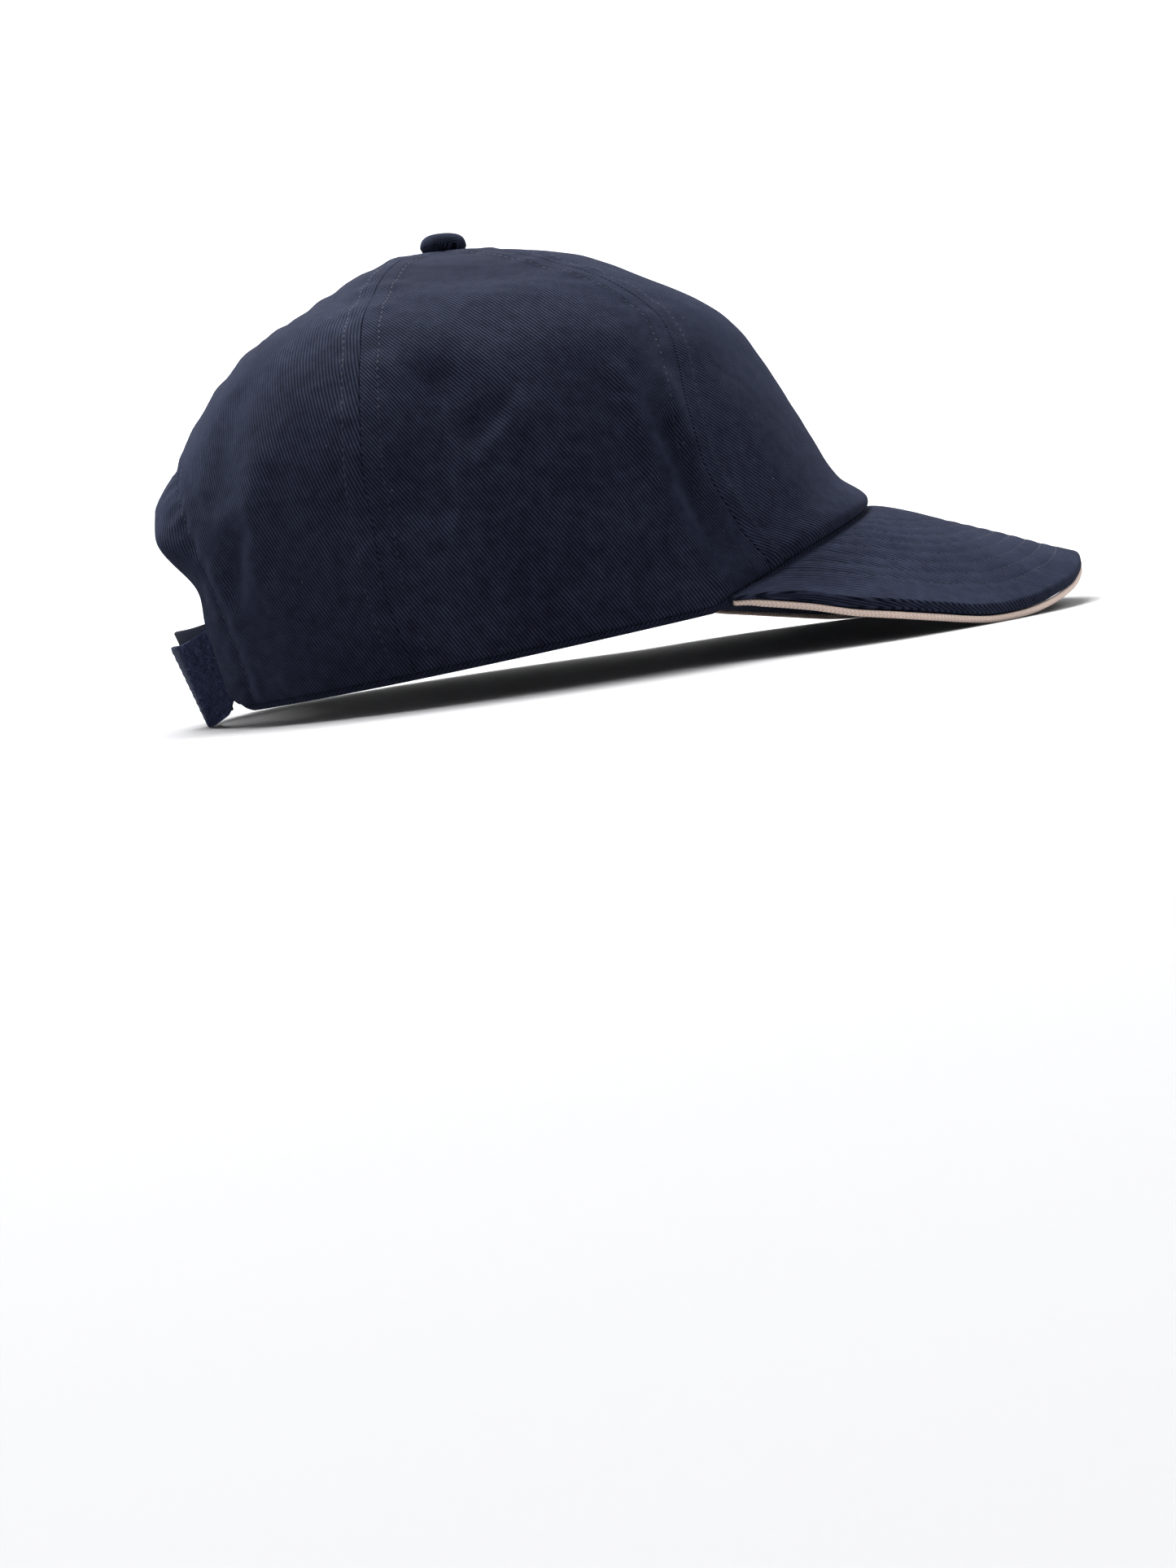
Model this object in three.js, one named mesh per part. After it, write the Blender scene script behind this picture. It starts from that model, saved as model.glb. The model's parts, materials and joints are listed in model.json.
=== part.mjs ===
import * as THREE from "three";

// A six-panel cotton cap with a soft crown, a curved peak with a piped edge and a hook-and-loop back strap.
// Millimetres. The cap is shaped round its button axis with the rim plane at zero height,
// +X towards the peak, +Y towards the wearer's left and +Z up, and is then tipped onto the surface it rests on.

// Crown, outside sizes
const CROWN_HEIGHT = 117.1;      // rim plane to the top, under the button
const CROWN_FRONT = 110;         // button axis to the front of the rim
const CROWN_BACK = 99;           // button axis to the back of the rim
const CROWN_HALF_WIDTH = 84;     // button axis to the side of the rim
const RIM_SQUARENESS = 2.15;     // exponent of the rim's plan, 2 for an ellipse
const RIM_RISE = 16.5;           // how far the rim lifts over the peak
const RIM_RISE_END = 62;         // degrees from the front at which that lift has run out
const PANEL_CLOTH = 1.5;         // wall of a crown panel
const SEAM_GAP = 0.3;            // clearance between neighbouring pieces

// Back arch, its flared hem
const ARCH_HEIGHT = 58;          // rim plane to the arch's top edge
const ARCH_HALF_WIDTH = 41;      // half the arch's width at the rim
const ARCH_FLARE = 3.6;          // how far the arch's edge stands out at its top
const ARCH_HEM = 9;              // width of the flared hem

// Button
const BUTTON_DIAMETER = 14;
const BUTTON_HEIGHT = 5.5;

// Peak
const PEAK_REACH = 61;           // front of the rim to the peak's tip
const PEAK_HALF_WIDTH = 87;
const PEAK_DIP = 21.7;           // rim plane down to the lowest edge of the peak
const PEAK_END = 58.5;           // degrees from the front at which the peak's joint ends
const PEAK_SWEEP = 101;          // degrees of the plan ellipse from the tip to the peak's corner
const PEAK_SPREAD = 0.6;         // centre of that ellipse, as a share of the crown's front
const PEAK_PUFF = 3.6;           // how far the peak's middle rises over a straight line
const PEAK_UPPER = 3;            // upper layer, board and cloth
const PEAK_UNDER = 1.5;          // under layer
const PIPING_DIAMETER = 1.9;
const CORNER_LIFT = 1.5;         // how far the peak's corners ride up under the crown's hem

// Sweatband
const SWEATBAND_HEIGHT = 30;
const SWEATBAND_CLOTH = 1.6;
const SWEATBAND_SHOWN = 2;       // rolled edge that shows below the rim
const BAND_CLEARANCE = 0.5;      // between the panels and the sweatband inside them

// Back strap
const STRAP_WIDTH = 25;
const STRAP_CLOTH = 1.6;
const STRAP_TUCK = 12;           // length sewn in behind each side of the arch
const STRAP_LEAN = 12.5;         // degrees that the strap leans out at the centre back
const STRAP_BOW = 4.4;           // how far the strap bows out at the centre back
const STRAP_SEAT = 13.2;         // rim plane to the strap's middle where it is sewn in
const STRAP_DROOP = 6.3;         // how far the outer strap's end hangs down
const STRAP_SETTLE = 2.2;        // how far the inner strap has settled at the centre back
const STRAP_OVERLAP = 30;        // length of the inner strap under the outer one

// Meridians of the crown at its front, side and back, from the button (step 0) to the rim (step 1).
// Radii are shares of the rim's radius and heights are shares of the crown's height.
const MERIDIAN_COLUMNS = ["step", "frontRadius", "frontHeight", "sideRadius", "sideHeight", "backRadius", "backHeight"];
const MERIDIANS = [
  [0, 0, 1, 0, 1, 0, 1],
  [0.14, 0.2, 0.962, 0.27, 0.955, 0.248, 0.975],
  [0.26, 0.37, 0.911, 0.495, 0.872, 0.451, 0.912],
  [0.38, 0.52, 0.818, 0.695, 0.786, 0.647, 0.836],
  [0.52, 0.692, 0.694, 0.855, 0.635, 0.837, 0.69],
  [0.67, 0.788, 0.52, 0.957, 0.44, 0.968, 0.494],
  [0.82, 0.87, 0.292, 0.995, 0.24, 1.003, 0.271],
  [0.92, 0.926, 0.135, 1.003, 0.105, 1.002, 0.12],
  [0.97, 0.989, 0.052, 1.003, 0.04, 1.001, 0.045],
  [1, 0.986, 0, 1, 0, 1, 0],
];

// Seams between the panels, in degrees from the front.
const SEAM_COLUMNS = ["step", "front", "rear"];
const SEAMS = [
  [0, 60, 137],
  [0.14, 57, 133],
  [0.28, 53, 125],
  [0.42, 48, 120.5],
  [0.5, 48, 119.5],
  [0.58, 51, 119],
  [0.68, 55, 119],
  [0.78, 56, 118.5],
  [0.88, 53.5, 118.5],
  [1, 49.5, 116.5],
];

// Soft folds of the crown: a ridge (depth above zero) or a valley from one place to another.
// side is -1 on the wearer's right and 1 on the left. Width and depth are shares of the crown's half width.
const FOLD_COLUMNS = ["side", "fromAngle", "fromStep", "toAngle", "toStep", "width", "depth"];
const FOLDS = [
  [-1, 104, 0.53, 109, 0.73, 0.1, -0.028],
  [-1, 130, 0.8, 105, 0.79, 0.06, 0.012],
  [-1, 105, 0.79, 97, 0.72, 0.06, 0.011],
  [-1, 97, 0.625, 93, 0.6, 0.045, -0.014],
  [-1, 88, 0.61, 98, 0.68, 0.05, 0.01],
  [-1, 68, 0.58, 70, 0.8, 0.12, -0.02],
  [-1, 60.5, 0.72, 60, 0.86, 0.042, -0.03],
  [-1, 66, 0.58, 65.5, 0.76, 0.045, 0.012],
  [-1, 57, 0.62, 58, 0.8, 0.04, 0.014],
  [-1, 151, 0.5, 149, 0.66, 0.075, -0.017],
  [-1, 140, 0.62, 142, 0.8, 0.055, 0.012],
  [-1, 145, 0.74, 148, 0.82, 0.05, -0.013],
  [-1, 118, 0.28, 77, 0.34, 0.08, 0.006],
  [1, 100, 0.55, 106, 0.74, 0.1, -0.024],
  [1, 128, 0.79, 98, 0.76, 0.06, 0.011],
  [1, 64, 0.62, 62, 0.84, 0.08, -0.022],
  [1, 150, 0.55, 146, 0.72, 0.075, -0.015],
  [1, 116, 0.28, 78, 0.34, 0.08, 0.006],
];
const FOLD_FADE = [0.75, 0.86];  // steps between which the sweatband smooths the folds out

// Underside of the peak's edge from its middle (0) to its corner (1), as shares of the peak's dip.
const EDGE_COLUMNS = ["across", "dip"];
const PEAK_EDGE = [
  [0, 0.673],
  [0.19, 0.733],
  [0.33, 0.885],
  [0.45, 0.982],
  [0.52, 1],
  [0.6, 0.949],
  [0.7, 0.751],
  [0.81, 0.493],
  [0.87, 0.309],
  [0.95, 0.12],
  [1, 0.074],
];

// Rows of the panels' grid, from the opening under the button (0) to the rim (1).
const PANEL_ROWS = [0, 0.06, 0.12, 0.18, 0.24, 0.31, 0.38, 0.45, 0.52, 0.59, 0.66, 0.72, 0.78, 0.84, 0.89, 0.93, 0.97, 1];
const ARCH_ROW = 9;              // the row that meets the arch's top
const FRONT_COLUMNS = 10;
const SIDE_COLUMNS = 14;
const BACK_COLUMNS = 11;

const navyTwill = { color: 0x1b2338, roughness: 0.85, metalness: 0 };
const creamPiping = { color: 0xdcc6ba, roughness: 0.8, metalness: 0 };
const loopPile = { color: 0x27315a, roughness: 0.95, metalness: 0 };
const smoothTape = { color: 0x4a5470, roughness: 0.7, metalness: 0 };

const degrees = Math.PI / 180;
const mix = (from, to, share) => from + (to - from) * share;

function smoothStep(low, high, value) {
  const share = Math.min(1, Math.max(0, (value - low) / (high - low)));
  return share * share * (3 - 2 * share);
}

function column(table, columns, name) {
  const index = columns.indexOf(name);
  return table.map((row) => row[index]);
}

// A smooth curve through knots, each slope the weighted mean of the slopes beside it.
function smoothCurve(knots, values) {
  const steps = knots.slice(1).map((knot, i) => knot - knots[i]);
  const slopes = steps.map((step, i) => (values[i + 1] - values[i]) / step);
  const last = values.length - 1;
  const tangents = values.map((_, i) => {
    if (i === 0) return slopes[0];
    if (i === last) return slopes[last - 1];
    return (slopes[i - 1] * steps[i - 1] + slopes[i] * steps[i]) / (steps[i - 1] + steps[i]);
  });
  return (at) => {
    let i = 0;
    while (i < last - 1 && at > knots[i + 1]) i += 1;
    const h = steps[i];
    const t = (at - knots[i]) / h;
    const t2 = t * t;
    const t3 = t2 * t;
    return (
      (2 * t3 - 3 * t2 + 1) * values[i] +
      (t3 - 2 * t2 + t) * h * tangents[i] +
      (3 * t2 - 2 * t3) * values[i + 1] +
      (t3 - t2) * h * tangents[i + 1]
    );
  };
}

function curvesOf(table, columns) {
  const knots = column(table, columns, columns[0]);
  return Object.fromEntries(columns.slice(1).map((name) => [name, smoothCurve(knots, column(table, columns, name))]));
}

const meridian = curvesOf(MERIDIANS, MERIDIAN_COLUMNS);
const seamAngle = curvesOf(SEAMS, SEAM_COLUMNS);
const peakEdge = curvesOf(PEAK_EDGE, EDGE_COLUMNS);

// The rim in plan: a squarish ellipse, longer to the front than to the back.
function rimRadius(azimuth) {
  const length = Math.cos(azimuth) > 0 ? CROWN_FRONT : CROWN_BACK;
  const alongShare = Math.abs(Math.cos(azimuth)) / length;
  const acrossShare = Math.abs(Math.sin(azimuth)) / CROWN_HALF_WIDTH;
  return (alongShare ** RIM_SQUARENESS + acrossShare ** RIM_SQUARENESS) ** (-1 / RIM_SQUARENESS);
}

function rimHeight(azimuth) {
  const share = azimuth / (RIM_RISE_END * degrees);
  return RIM_RISE * Math.max(0, 1 - share * share) ** 1.1;
}

// The crown without folds: the three meridians, blended by the squares of the direction's cosine and sine.
function smoothCrown(azimuth, step) {
  const along = Math.cos(azimuth) ** 2;
  const across = 1 - along;
  const end = Math.cos(azimuth) > 0 ? "front" : "back";
  const radiusShare = along * meridian[`${end}Radius`](step) + across * meridian.sideRadius(step);
  const heightShare = along * meridian[`${end}Height`](step) + across * meridian.sideHeight(step);
  const radius = radiusShare * rimRadius(azimuth);
  const height = heightShare * CROWN_HEIGHT + rimHeight(azimuth) * step ** 4;
  return new THREE.Vector3(radius * Math.cos(azimuth), radius * Math.sin(azimuth), height);
}

// The outward normal of a surface, from its slopes along its two directions.
function normalOf(surface, azimuth, step) {
  const reach = 0.002;
  const low = Math.max(reach, step - reach);
  const high = Math.min(1, step + reach);
  const around = surface(azimuth + reach, step).sub(surface(azimuth - reach, step));
  const down = surface(azimuth, high).sub(surface(azimuth, low));
  return down.cross(around).normalize();
}

const meridianLength = CROWN_HEIGHT + 0.4 * CROWN_FRONT;

// Height of all folds at a place: each falls off as a bell with the distance from its line.
function foldHeight(azimuth, step) {
  const side = Math.sign(azimuth);
  const angle = Math.abs(azimuth) / degrees;
  let height = 0;
  for (const row of FOLDS) {
    const fold = Object.fromEntries(FOLD_COLUMNS.map((name, i) => [name, row[i]]));
    if (fold.side !== side) continue;
    const aroundScale = CROWN_HALF_WIDTH * meridian.sideRadius((fold.fromStep + fold.toStep) / 2) * degrees;
    const line = new THREE.Vector2((fold.toAngle - fold.fromAngle) * aroundScale, (fold.toStep - fold.fromStep) * meridianLength);
    const place = new THREE.Vector2((angle - fold.fromAngle) * aroundScale, (step - fold.fromStep) * meridianLength);
    const share = Math.min(1, Math.max(0, place.dot(line) / line.lengthSq()));
    const distance = place.sub(line.multiplyScalar(share)).length() / (fold.width * CROWN_HALF_WIDTH);
    height += fold.depth * CROWN_HALF_WIDTH * Math.exp(-distance * distance);
  }
  return height * (1 - smoothStep(...FOLD_FADE, step));
}

// Height of the arch's flare: greatest on the arch's edge, gone at the hem's far side.
function flareHeight(place) {
  if (place.x > 0) return 0;
  const across = place.y / ARCH_HALF_WIDTH;
  const up = Math.max(0, place.z) / ARCH_HEIGHT;
  const beyond = (Math.hypot(across, up) - 1) * Math.min(ARCH_HEIGHT, ARCH_HALF_WIDTH);
  return ARCH_FLARE * (0.15 + 0.85 * up * up) * (1 - smoothStep(0, ARCH_HEM, beyond));
}

function crown(azimuth, step) {
  const place = smoothCrown(azimuth, step);
  const lift = foldHeight(azimuth, step) + flareHeight(place);
  return place.addScaledVector(normalOf(smoothCrown, azimuth, step), lift);
}

// The value between two others at which a rising function reaches its goal.
function solve(rising, goal, low, high) {
  let [below, above] = [low, high];
  for (let i = 0; i < 40; i += 1) {
    const middle = (below + above) / 2;
    if (rising(middle) < goal) below = middle;
    else above = middle;
  }
  return (below + above) / 2;
}

// Closed meshes from grids of points.
function solidFrom(points, faces) {
  const volume = faces.reduce((sum, [a, b, c]) => {
    const normal = new THREE.Vector3().crossVectors(points[b], points[c]);
    return sum + points[a].dot(normal);
  }, 0);
  const outward = volume > 0 ? faces : faces.map(([a, b, c]) => [a, c, b]);
  const geometry = new THREE.BufferGeometry().setFromPoints(points);
  geometry.setIndex(outward.flat());
  geometry.computeVertexNormals();
  return geometry;
}

function quad(a, b, c, d) {
  return [[a, b, c], [a, c, d]];
}

// A sheet with two faces: two grids of the same size, closed round their four edges.
function sheet(face, back) {
  const rows = face.length;
  const columns = face[0].length;
  const points = [...face.flat(), ...back.flat()];
  const faceAt = (i, j) => i * columns + j;
  const backAt = (i, j) => rows * columns + i * columns + j;
  const faces = [];
  for (let i = 0; i < rows - 1; i += 1) {
    for (let j = 0; j < columns - 1; j += 1) {
      faces.push(...quad(faceAt(i, j), faceAt(i, j + 1), faceAt(i + 1, j + 1), faceAt(i + 1, j)));
      faces.push(...quad(backAt(i, j), backAt(i + 1, j), backAt(i + 1, j + 1), backAt(i, j + 1)));
    }
  }
  const last = { row: rows - 1, column: columns - 1 };
  for (let j = 0; j < last.column; j += 1) {
    faces.push(...quad(faceAt(0, j + 1), faceAt(0, j), backAt(0, j), backAt(0, j + 1)));
    faces.push(...quad(faceAt(last.row, j), faceAt(last.row, j + 1), backAt(last.row, j + 1), backAt(last.row, j)));
  }
  for (let i = 0; i < last.row; i += 1) {
    faces.push(...quad(faceAt(i, 0), faceAt(i + 1, 0), backAt(i + 1, 0), backAt(i, 0)));
    faces.push(...quad(faceAt(i + 1, last.column), faceAt(i, last.column), backAt(i, last.column), backAt(i + 1, last.column)));
  }
  return solidFrom(points, faces);
}

// A bar through sections: closed rings of points, each joined to the next, with a flat cap at each end.
function bar(sections) {
  const count = sections[0].length;
  const points = sections.flat();
  const faces = [];
  for (let i = 0; i < sections.length - 1; i += 1) {
    for (let j = 0; j < count; j += 1) {
      const next = (j + 1) % count;
      faces.push(...quad(i * count + j, i * count + next, (i + 1) * count + next, (i + 1) * count + j));
    }
  }
  const start = (sections.length - 1) * count;
  for (let j = 1; j < count - 1; j += 1) {
    faces.push([0, j + 1, j]);
    faces.push([start, start + j, start + j + 1]);
  }
  return solidFrom(points, faces);
}

function grid(rows, columns, point) {
  const line = (count) => Array.from({ length: count + 1 }, (_, i) => i / count);
  return line(rows).map((v) => line(columns).map((u) => point(u, v)));
}

const cap = new THREE.Group();
cap.name = "cap";

function addPiece(name, geometry, material) {
  const piece = new THREE.Mesh(geometry, new THREE.MeshStandardMaterial(material));
  piece.name = name;
  cap.add(piece);
  return piece;
}

// The crown's panels meet round a small opening that the button covers.
const topStep = solve((step) => smoothCrown(Math.PI / 2, step).y, BUTTON_DIAMETER / 4, 0, 0.2);
const rowStep = (row) => mix(topStep, 1, PANEL_ROWS[row]);

// A panel's wall: its outside lies on the crown and its inside one cloth's thickness in.
function panelFaces(rows) {
  const inward = ([azimuth, step]) => {
    const place = crown(azimuth, step);
    return place.addScaledVector(normalOf(crown, azimuth, step), -PANEL_CLOTH);
  };
  const outside = rows.map((row) => row.map(([azimuth, step]) => crown(azimuth, step)));
  return sheet(outside, rows.map((row) => row.map(inward)));
}

// Half a seam's clearance as an angle, at a place on the crown.
function halfGap(azimuth, step) {
  const place = smoothCrown(azimuth, step);
  return SEAM_GAP / 2 / Math.hypot(place.x, place.y);
}

function panelRows(side, columns, startOf, endOf) {
  return PANEL_ROWS.map((_, row) => {
    const [startAngle, startStep] = startOf(row);
    const [endAngle, endStep] = endOf(row);
    const start = startAngle + halfGap(startAngle, startStep);
    const end = endAngle - halfGap(endAngle, endStep);
    return Array.from({ length: columns + 1 }, (_, i) => {
      const share = i / columns;
      return [side * mix(start, end, share), mix(startStep, endStep, share)];
    });
  });
}

const middleFront = (row) => [0, rowStep(row)];
const frontSeam = (row) => [seamAngle.front(rowStep(row)) * degrees, rowStep(row)];
const rearSeam = (row) => [seamAngle.rear(rowStep(row)) * degrees, rowStep(row)];

// The arch's edge is half an ellipse seen from behind, laid on the crown.
function archEdge(turn) {
  const height = ARCH_HEIGHT * Math.cos(turn);
  const across = ARCH_HALF_WIDTH * Math.sin(turn);
  let azimuth = Math.PI;
  let step = 1;
  for (let i = 0; i < 12; i += 1) {
    step = solve((value) => -smoothCrown(azimuth, value).z, -height, 0.3, 1);
    const radius = Math.hypot(smoothCrown(azimuth, step).x, smoothCrown(azimuth, step).y);
    azimuth = Math.PI - Math.asin(across / radius);
  }
  return [azimuth, step];
}

const archTopStep = archEdge(0)[1];
function middleBack(row) {
  if (row <= ARCH_ROW) return [Math.PI, mix(topStep, archTopStep, PANEL_ROWS[row] / PANEL_ROWS[ARCH_ROW])];
  const turn = ((row - ARCH_ROW) / (PANEL_ROWS.length - 1 - ARCH_ROW)) * (Math.PI / 2);
  return archEdge(turn);
}

for (const [sideName, side] of [["right", -1], ["left", 1]]) {
  const panels = [
    ["front", FRONT_COLUMNS, middleFront, frontSeam],
    ["side", SIDE_COLUMNS, frontSeam, rearSeam],
    ["back", BACK_COLUMNS, rearSeam, middleBack],
  ];
  for (const [place, columns, startOf, endOf] of panels) {
    addPiece(`panel_${place}_${sideName}`, panelFaces(panelRows(side, columns, startOf, endOf)), navyTwill);
  }
}

// The button: a low dome with a rounded edge, seated on the panels.
function buttonGeometry() {
  const seat = Math.max(...[0, Math.PI / 2, Math.PI].map((azimuth) => smoothCrown(azimuth, topStep).z)) + SEAM_GAP;
  const radius = BUTTON_DIAMETER / 2;
  const edge = BUTTON_HEIGHT * 0.3;
  const profile = [new THREE.Vector2(0, 0), new THREE.Vector2(radius - edge / 2, 0)];
  for (let i = 0; i <= 6; i += 1) {
    const turn = (i / 6) * (Math.PI / 2);
    profile.push(new THREE.Vector2(radius * Math.cos(turn) ** 0.7, edge + (BUTTON_HEIGHT - edge) * Math.sin(turn)));
  }
  profile[profile.length - 1].x = 0;
  const geometry = new THREE.LatheGeometry(profile, 20);
  return geometry.rotateX(Math.PI / 2).translate(0, 0, seat);
}
addPiece("button", buttonGeometry(), navyTwill);

// The peak. across runs from -1 at its right corner to 1 at its left, out from 0 at the joint to 1 at the edge.
const PEAK_TOTAL = PEAK_UPPER + SEAM_GAP + PEAK_UNDER;
const JOINT_INSET = PANEL_CLOTH - SEAM_GAP / 2;
const JOINT_DROP = 3 * SEAM_GAP;

// The layers thin out towards the peak's corners, as shares of their thickness.
function peakThinning(across) {
  return 0.32 + 0.68 * smoothStep(0, 0.14, 1 - Math.abs(across));
}

function cornerLift(across) {
  return CORNER_LIFT * smoothStep(0.8, 1, Math.abs(across));
}

function outwardInPlan(azimuth) {
  const turn = 0.01;
  const ahead = rimPoint(azimuth + turn).sub(rimPoint(azimuth - turn));
  return new THREE.Vector3(ahead.y, -ahead.x, 0).normalize();
}

function rimPoint(azimuth) {
  return smoothCrown(azimuth, 1).setZ(0);
}

function peakJoint(across) {
  const azimuth = across * PEAK_END * degrees;
  const place = rimPoint(azimuth).addScaledVector(outwardInPlan(azimuth), -JOINT_INSET);
  return place.setZ(rimHeight(azimuth) - JOINT_DROP);
}

function peakTip(across) {
  const turn = Math.abs(across) * PEAK_SWEEP * degrees;
  const centre = PEAK_SPREAD * CROWN_FRONT;
  const joint = peakJoint(across);
  const corner = joint.clone().addScaledVector(outwardInPlan(across * PEAK_END * degrees), JOINT_INSET + PIPING_DIAMETER);
  const pull = Math.max(0, (Math.abs(across) - 0.75) / 0.25) ** 2;
  const x = mix(centre + (CROWN_FRONT + PEAK_REACH - centre) * Math.cos(turn), corner.x, pull);
  const y = mix(Math.sign(across) * PEAK_HALF_WIDTH * Math.sin(turn), corner.y, pull);
  const underside = cornerLift(across) - PEAK_DIP * peakEdge.dip(Math.abs(across));
  return new THREE.Vector3(x, y, underside + PEAK_TOTAL * peakThinning(across));
}

// The top of the peak: straight lines from the joint to the edge, lifted by the puff.
function peakTop(across, out) {
  const joint = peakJoint(across);
  const tip = peakTip(across);
  const lengthShare = joint.distanceTo(tip) / PEAK_REACH;
  const puff = PEAK_PUFF * lengthShare * (1 - Math.exp(-out / 0.05)) * (1 - out);
  const place = joint.lerp(tip, out);
  return place.setZ(place.z + puff);
}

function peakOutward(across) {
  return peakTip(across).sub(peakJoint(across)).setZ(0).normalize();
}

function peakSpan(across) {
  return peakTip(across).sub(peakJoint(across)).setZ(0).length();
}

const PEAK_STEPS = [0, 0.03, 0.08, 0.18, 0.34, 0.52, 0.7, 0.86, 1];
const PEAK_STATIONS = 36;
const PIPING_STATIONS = 44;
const PIPING_SIDES = 6;
const BAND_STATIONS = 72;
const crosswise = (limit, count) => Array.from({ length: count + 1 }, (_, i) => mix(-limit, limit, i / count));

// The upper layer ends in a rolled edge: half a round in section.
const upperSections = crosswise(1, PEAK_STATIONS).map((across) => {
  const thickness = PEAK_UPPER * peakThinning(across);
  const radius = thickness / 2;
  const reach = 1 - radius / peakSpan(across);
  const top = PEAK_STEPS.map((out) => peakTop(across, out * reach));
  const under = top.map((place) => place.clone().setZ(place.z - thickness)).reverse();
  const centre = top[top.length - 1].clone();
  centre.z -= radius;
  const roll = [50, 0, -50].map((angle) => {
    const place = centre.clone().addScaledVector(peakOutward(across), radius * Math.cos(angle * degrees));
    return place.setZ(place.z + radius * Math.sin(angle * degrees));
  });
  return [...top, ...roll, ...under];
});
addPiece("peak_upper", bar(upperSections), navyTwill);

// The piping runs along the edge, under the rolled edge and outside the under layer.
const PIPING_INSET = PIPING_DIAMETER / 2 + SEAM_GAP / 2;
const pipingSections = crosswise(0.985, PIPING_STATIONS).map((across) => {
  const radius = (PIPING_DIAMETER / 2) * Math.min(1, peakThinning(across) + 0.2);
  const centre = peakTip(across).addScaledVector(peakOutward(across), -PIPING_INSET);
  centre.z -= PEAK_UPPER * peakThinning(across) + SEAM_GAP + radius;
  return Array.from({ length: PIPING_SIDES }, (_, i) => {
    const turn = (i / PIPING_SIDES) * 2 * Math.PI;
    const place = centre.clone().addScaledVector(peakOutward(across), radius * Math.cos(turn));
    return place.setZ(place.z + radius * Math.sin(turn));
  });
});
addPiece("peak_piping", bar(pipingSections), creamPiping);

const UNDER_INSET = PIPING_INSET + PIPING_DIAMETER / 2 + SEAM_GAP;
const underTop = crosswise(0.9, 28).map((across) => {
  const reach = 1 - UNDER_INSET / peakSpan(across);
  const below = PEAK_UPPER * peakThinning(across) + SEAM_GAP;
  return [0, 0.08, 0.22, 0.45, 0.72, 1].map((out) => {
    const place = peakTop(across, out * reach);
    return place.setZ(place.z - below);
  });
});
const underBase = underTop.map((row) => row.map((place) => place.clone().setZ(place.z - PEAK_UNDER)));
addPiece("peak_lower", sheet(underTop, underBase), navyTwill);

// The azimuth of the rim's point that lies a given distance across, at the back.
function backAzimuth(across) {
  return Math.PI - solve((turn) => rimPoint(Math.PI - turn).y, across, 0, Math.PI / 2);
}

// The sweatband: inside the panels from one side of the arch to the other, its edge below the rim.
const bandEnd = backAzimuth(ARCH_HALF_WIDTH + STRAP_TUCK + 2 * SEAM_GAP);
const bandTopStep = solve((step) => -smoothCrown(Math.PI / 2, step).z, SWEATBAND_SHOWN - SWEATBAND_HEIGHT, 0.3, 1);
const BAND_INSET = PANEL_CLOTH + BAND_CLEARANCE;
function bandPoint(azimuth, step, inset) {
  return crown(azimuth, step).addScaledVector(normalOf(crown, azimuth, step), -inset);
}
function bandEdge(azimuth, inset) {
  const place = rimPoint(azimuth).addScaledVector(outwardInPlan(azimuth), -inset);
  return place.setZ(rimHeight(azimuth) - SWEATBAND_SHOWN);
}
const bandSteps = [bandTopStep, ...PANEL_ROWS.map((_, row) => rowStep(row)).filter((step) => step > bandTopStep + 0.01)];
const bandGrid = (inset) => {
  const azimuths = crosswise(bandEnd, BAND_STATIONS);
  const rows = bandSteps.map((step) => azimuths.map((azimuth) => bandPoint(azimuth, step, inset)));
  return [...rows, azimuths.map((azimuth) => bandEdge(azimuth, inset))];
};
addPiece("sweatband", sheet(bandGrid(BAND_INSET), bandGrid(BAND_INSET + SWEATBAND_CLOTH)), navyTwill);

// The strap's halves follow the rim, and bow out and lean out towards the centre back.
// Their share of both is 0 near the arch's sides and 1 in the middle.
function strapShare(across) {
  return 1 - smoothStep(0, 0.9 * ARCH_HALF_WIDTH, Math.abs(across));
}

// They droop over a longer stretch, and are level again only where they are sewn in.
function droopShare(across) {
  return 1 - smoothStep(0.25 * ARCH_HALF_WIDTH, ARCH_HALF_WIDTH + STRAP_TUCK, Math.abs(across));
}

function strapPoint(across, up, depth, middle) {
  const azimuth = Math.sign(across || 1) * backAzimuth(Math.abs(across));
  const share = strapShare(across);
  const sewnIn = PANEL_CLOTH + SEAM_GAP + STRAP_CLOTH / 2;
  const lean = up * Math.tan(STRAP_LEAN * degrees * share);
  const place = rimPoint(azimuth).addScaledVector(outwardInPlan(azimuth), STRAP_BOW * share - sewnIn + lean - depth);
  return place.setZ(middle + up);
}

function strapGeometry(from, to, stations, depthOf, middleOf) {
  const face = (shift) =>
    grid(stations, 4, (u, v) => {
      const across = mix(from, to, v);
      return strapPoint(across, mix(-0.5, 0.5, u) * STRAP_WIDTH, depthOf(across) + shift, middleOf(across));
    });
  return sheet(face(-STRAP_CLOTH / 2), face(STRAP_CLOTH / 2));
}

const sewnEnd = ARCH_HALF_WIDTH + STRAP_TUCK;
addPiece(
  "strap_right",
  strapGeometry(-sewnEnd, 0, 16, () => 0, (across) => STRAP_SEAT - STRAP_DROOP * droopShare(across)),
  loopPile,
);
addPiece(
  "strap_left",
  strapGeometry(
    sewnEnd,
    -STRAP_OVERLAP,
    24,
    (across) => (STRAP_CLOTH + SEAM_GAP) * (1 - smoothStep(0.1 * ARCH_HALF_WIDTH, 0.8 * ARCH_HALF_WIDTH, across)),
    (across) => STRAP_SEAT - STRAP_SETTLE * (across > 0 ? droopShare(across) : 1),
  ),
  smoothTape,
);

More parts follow.
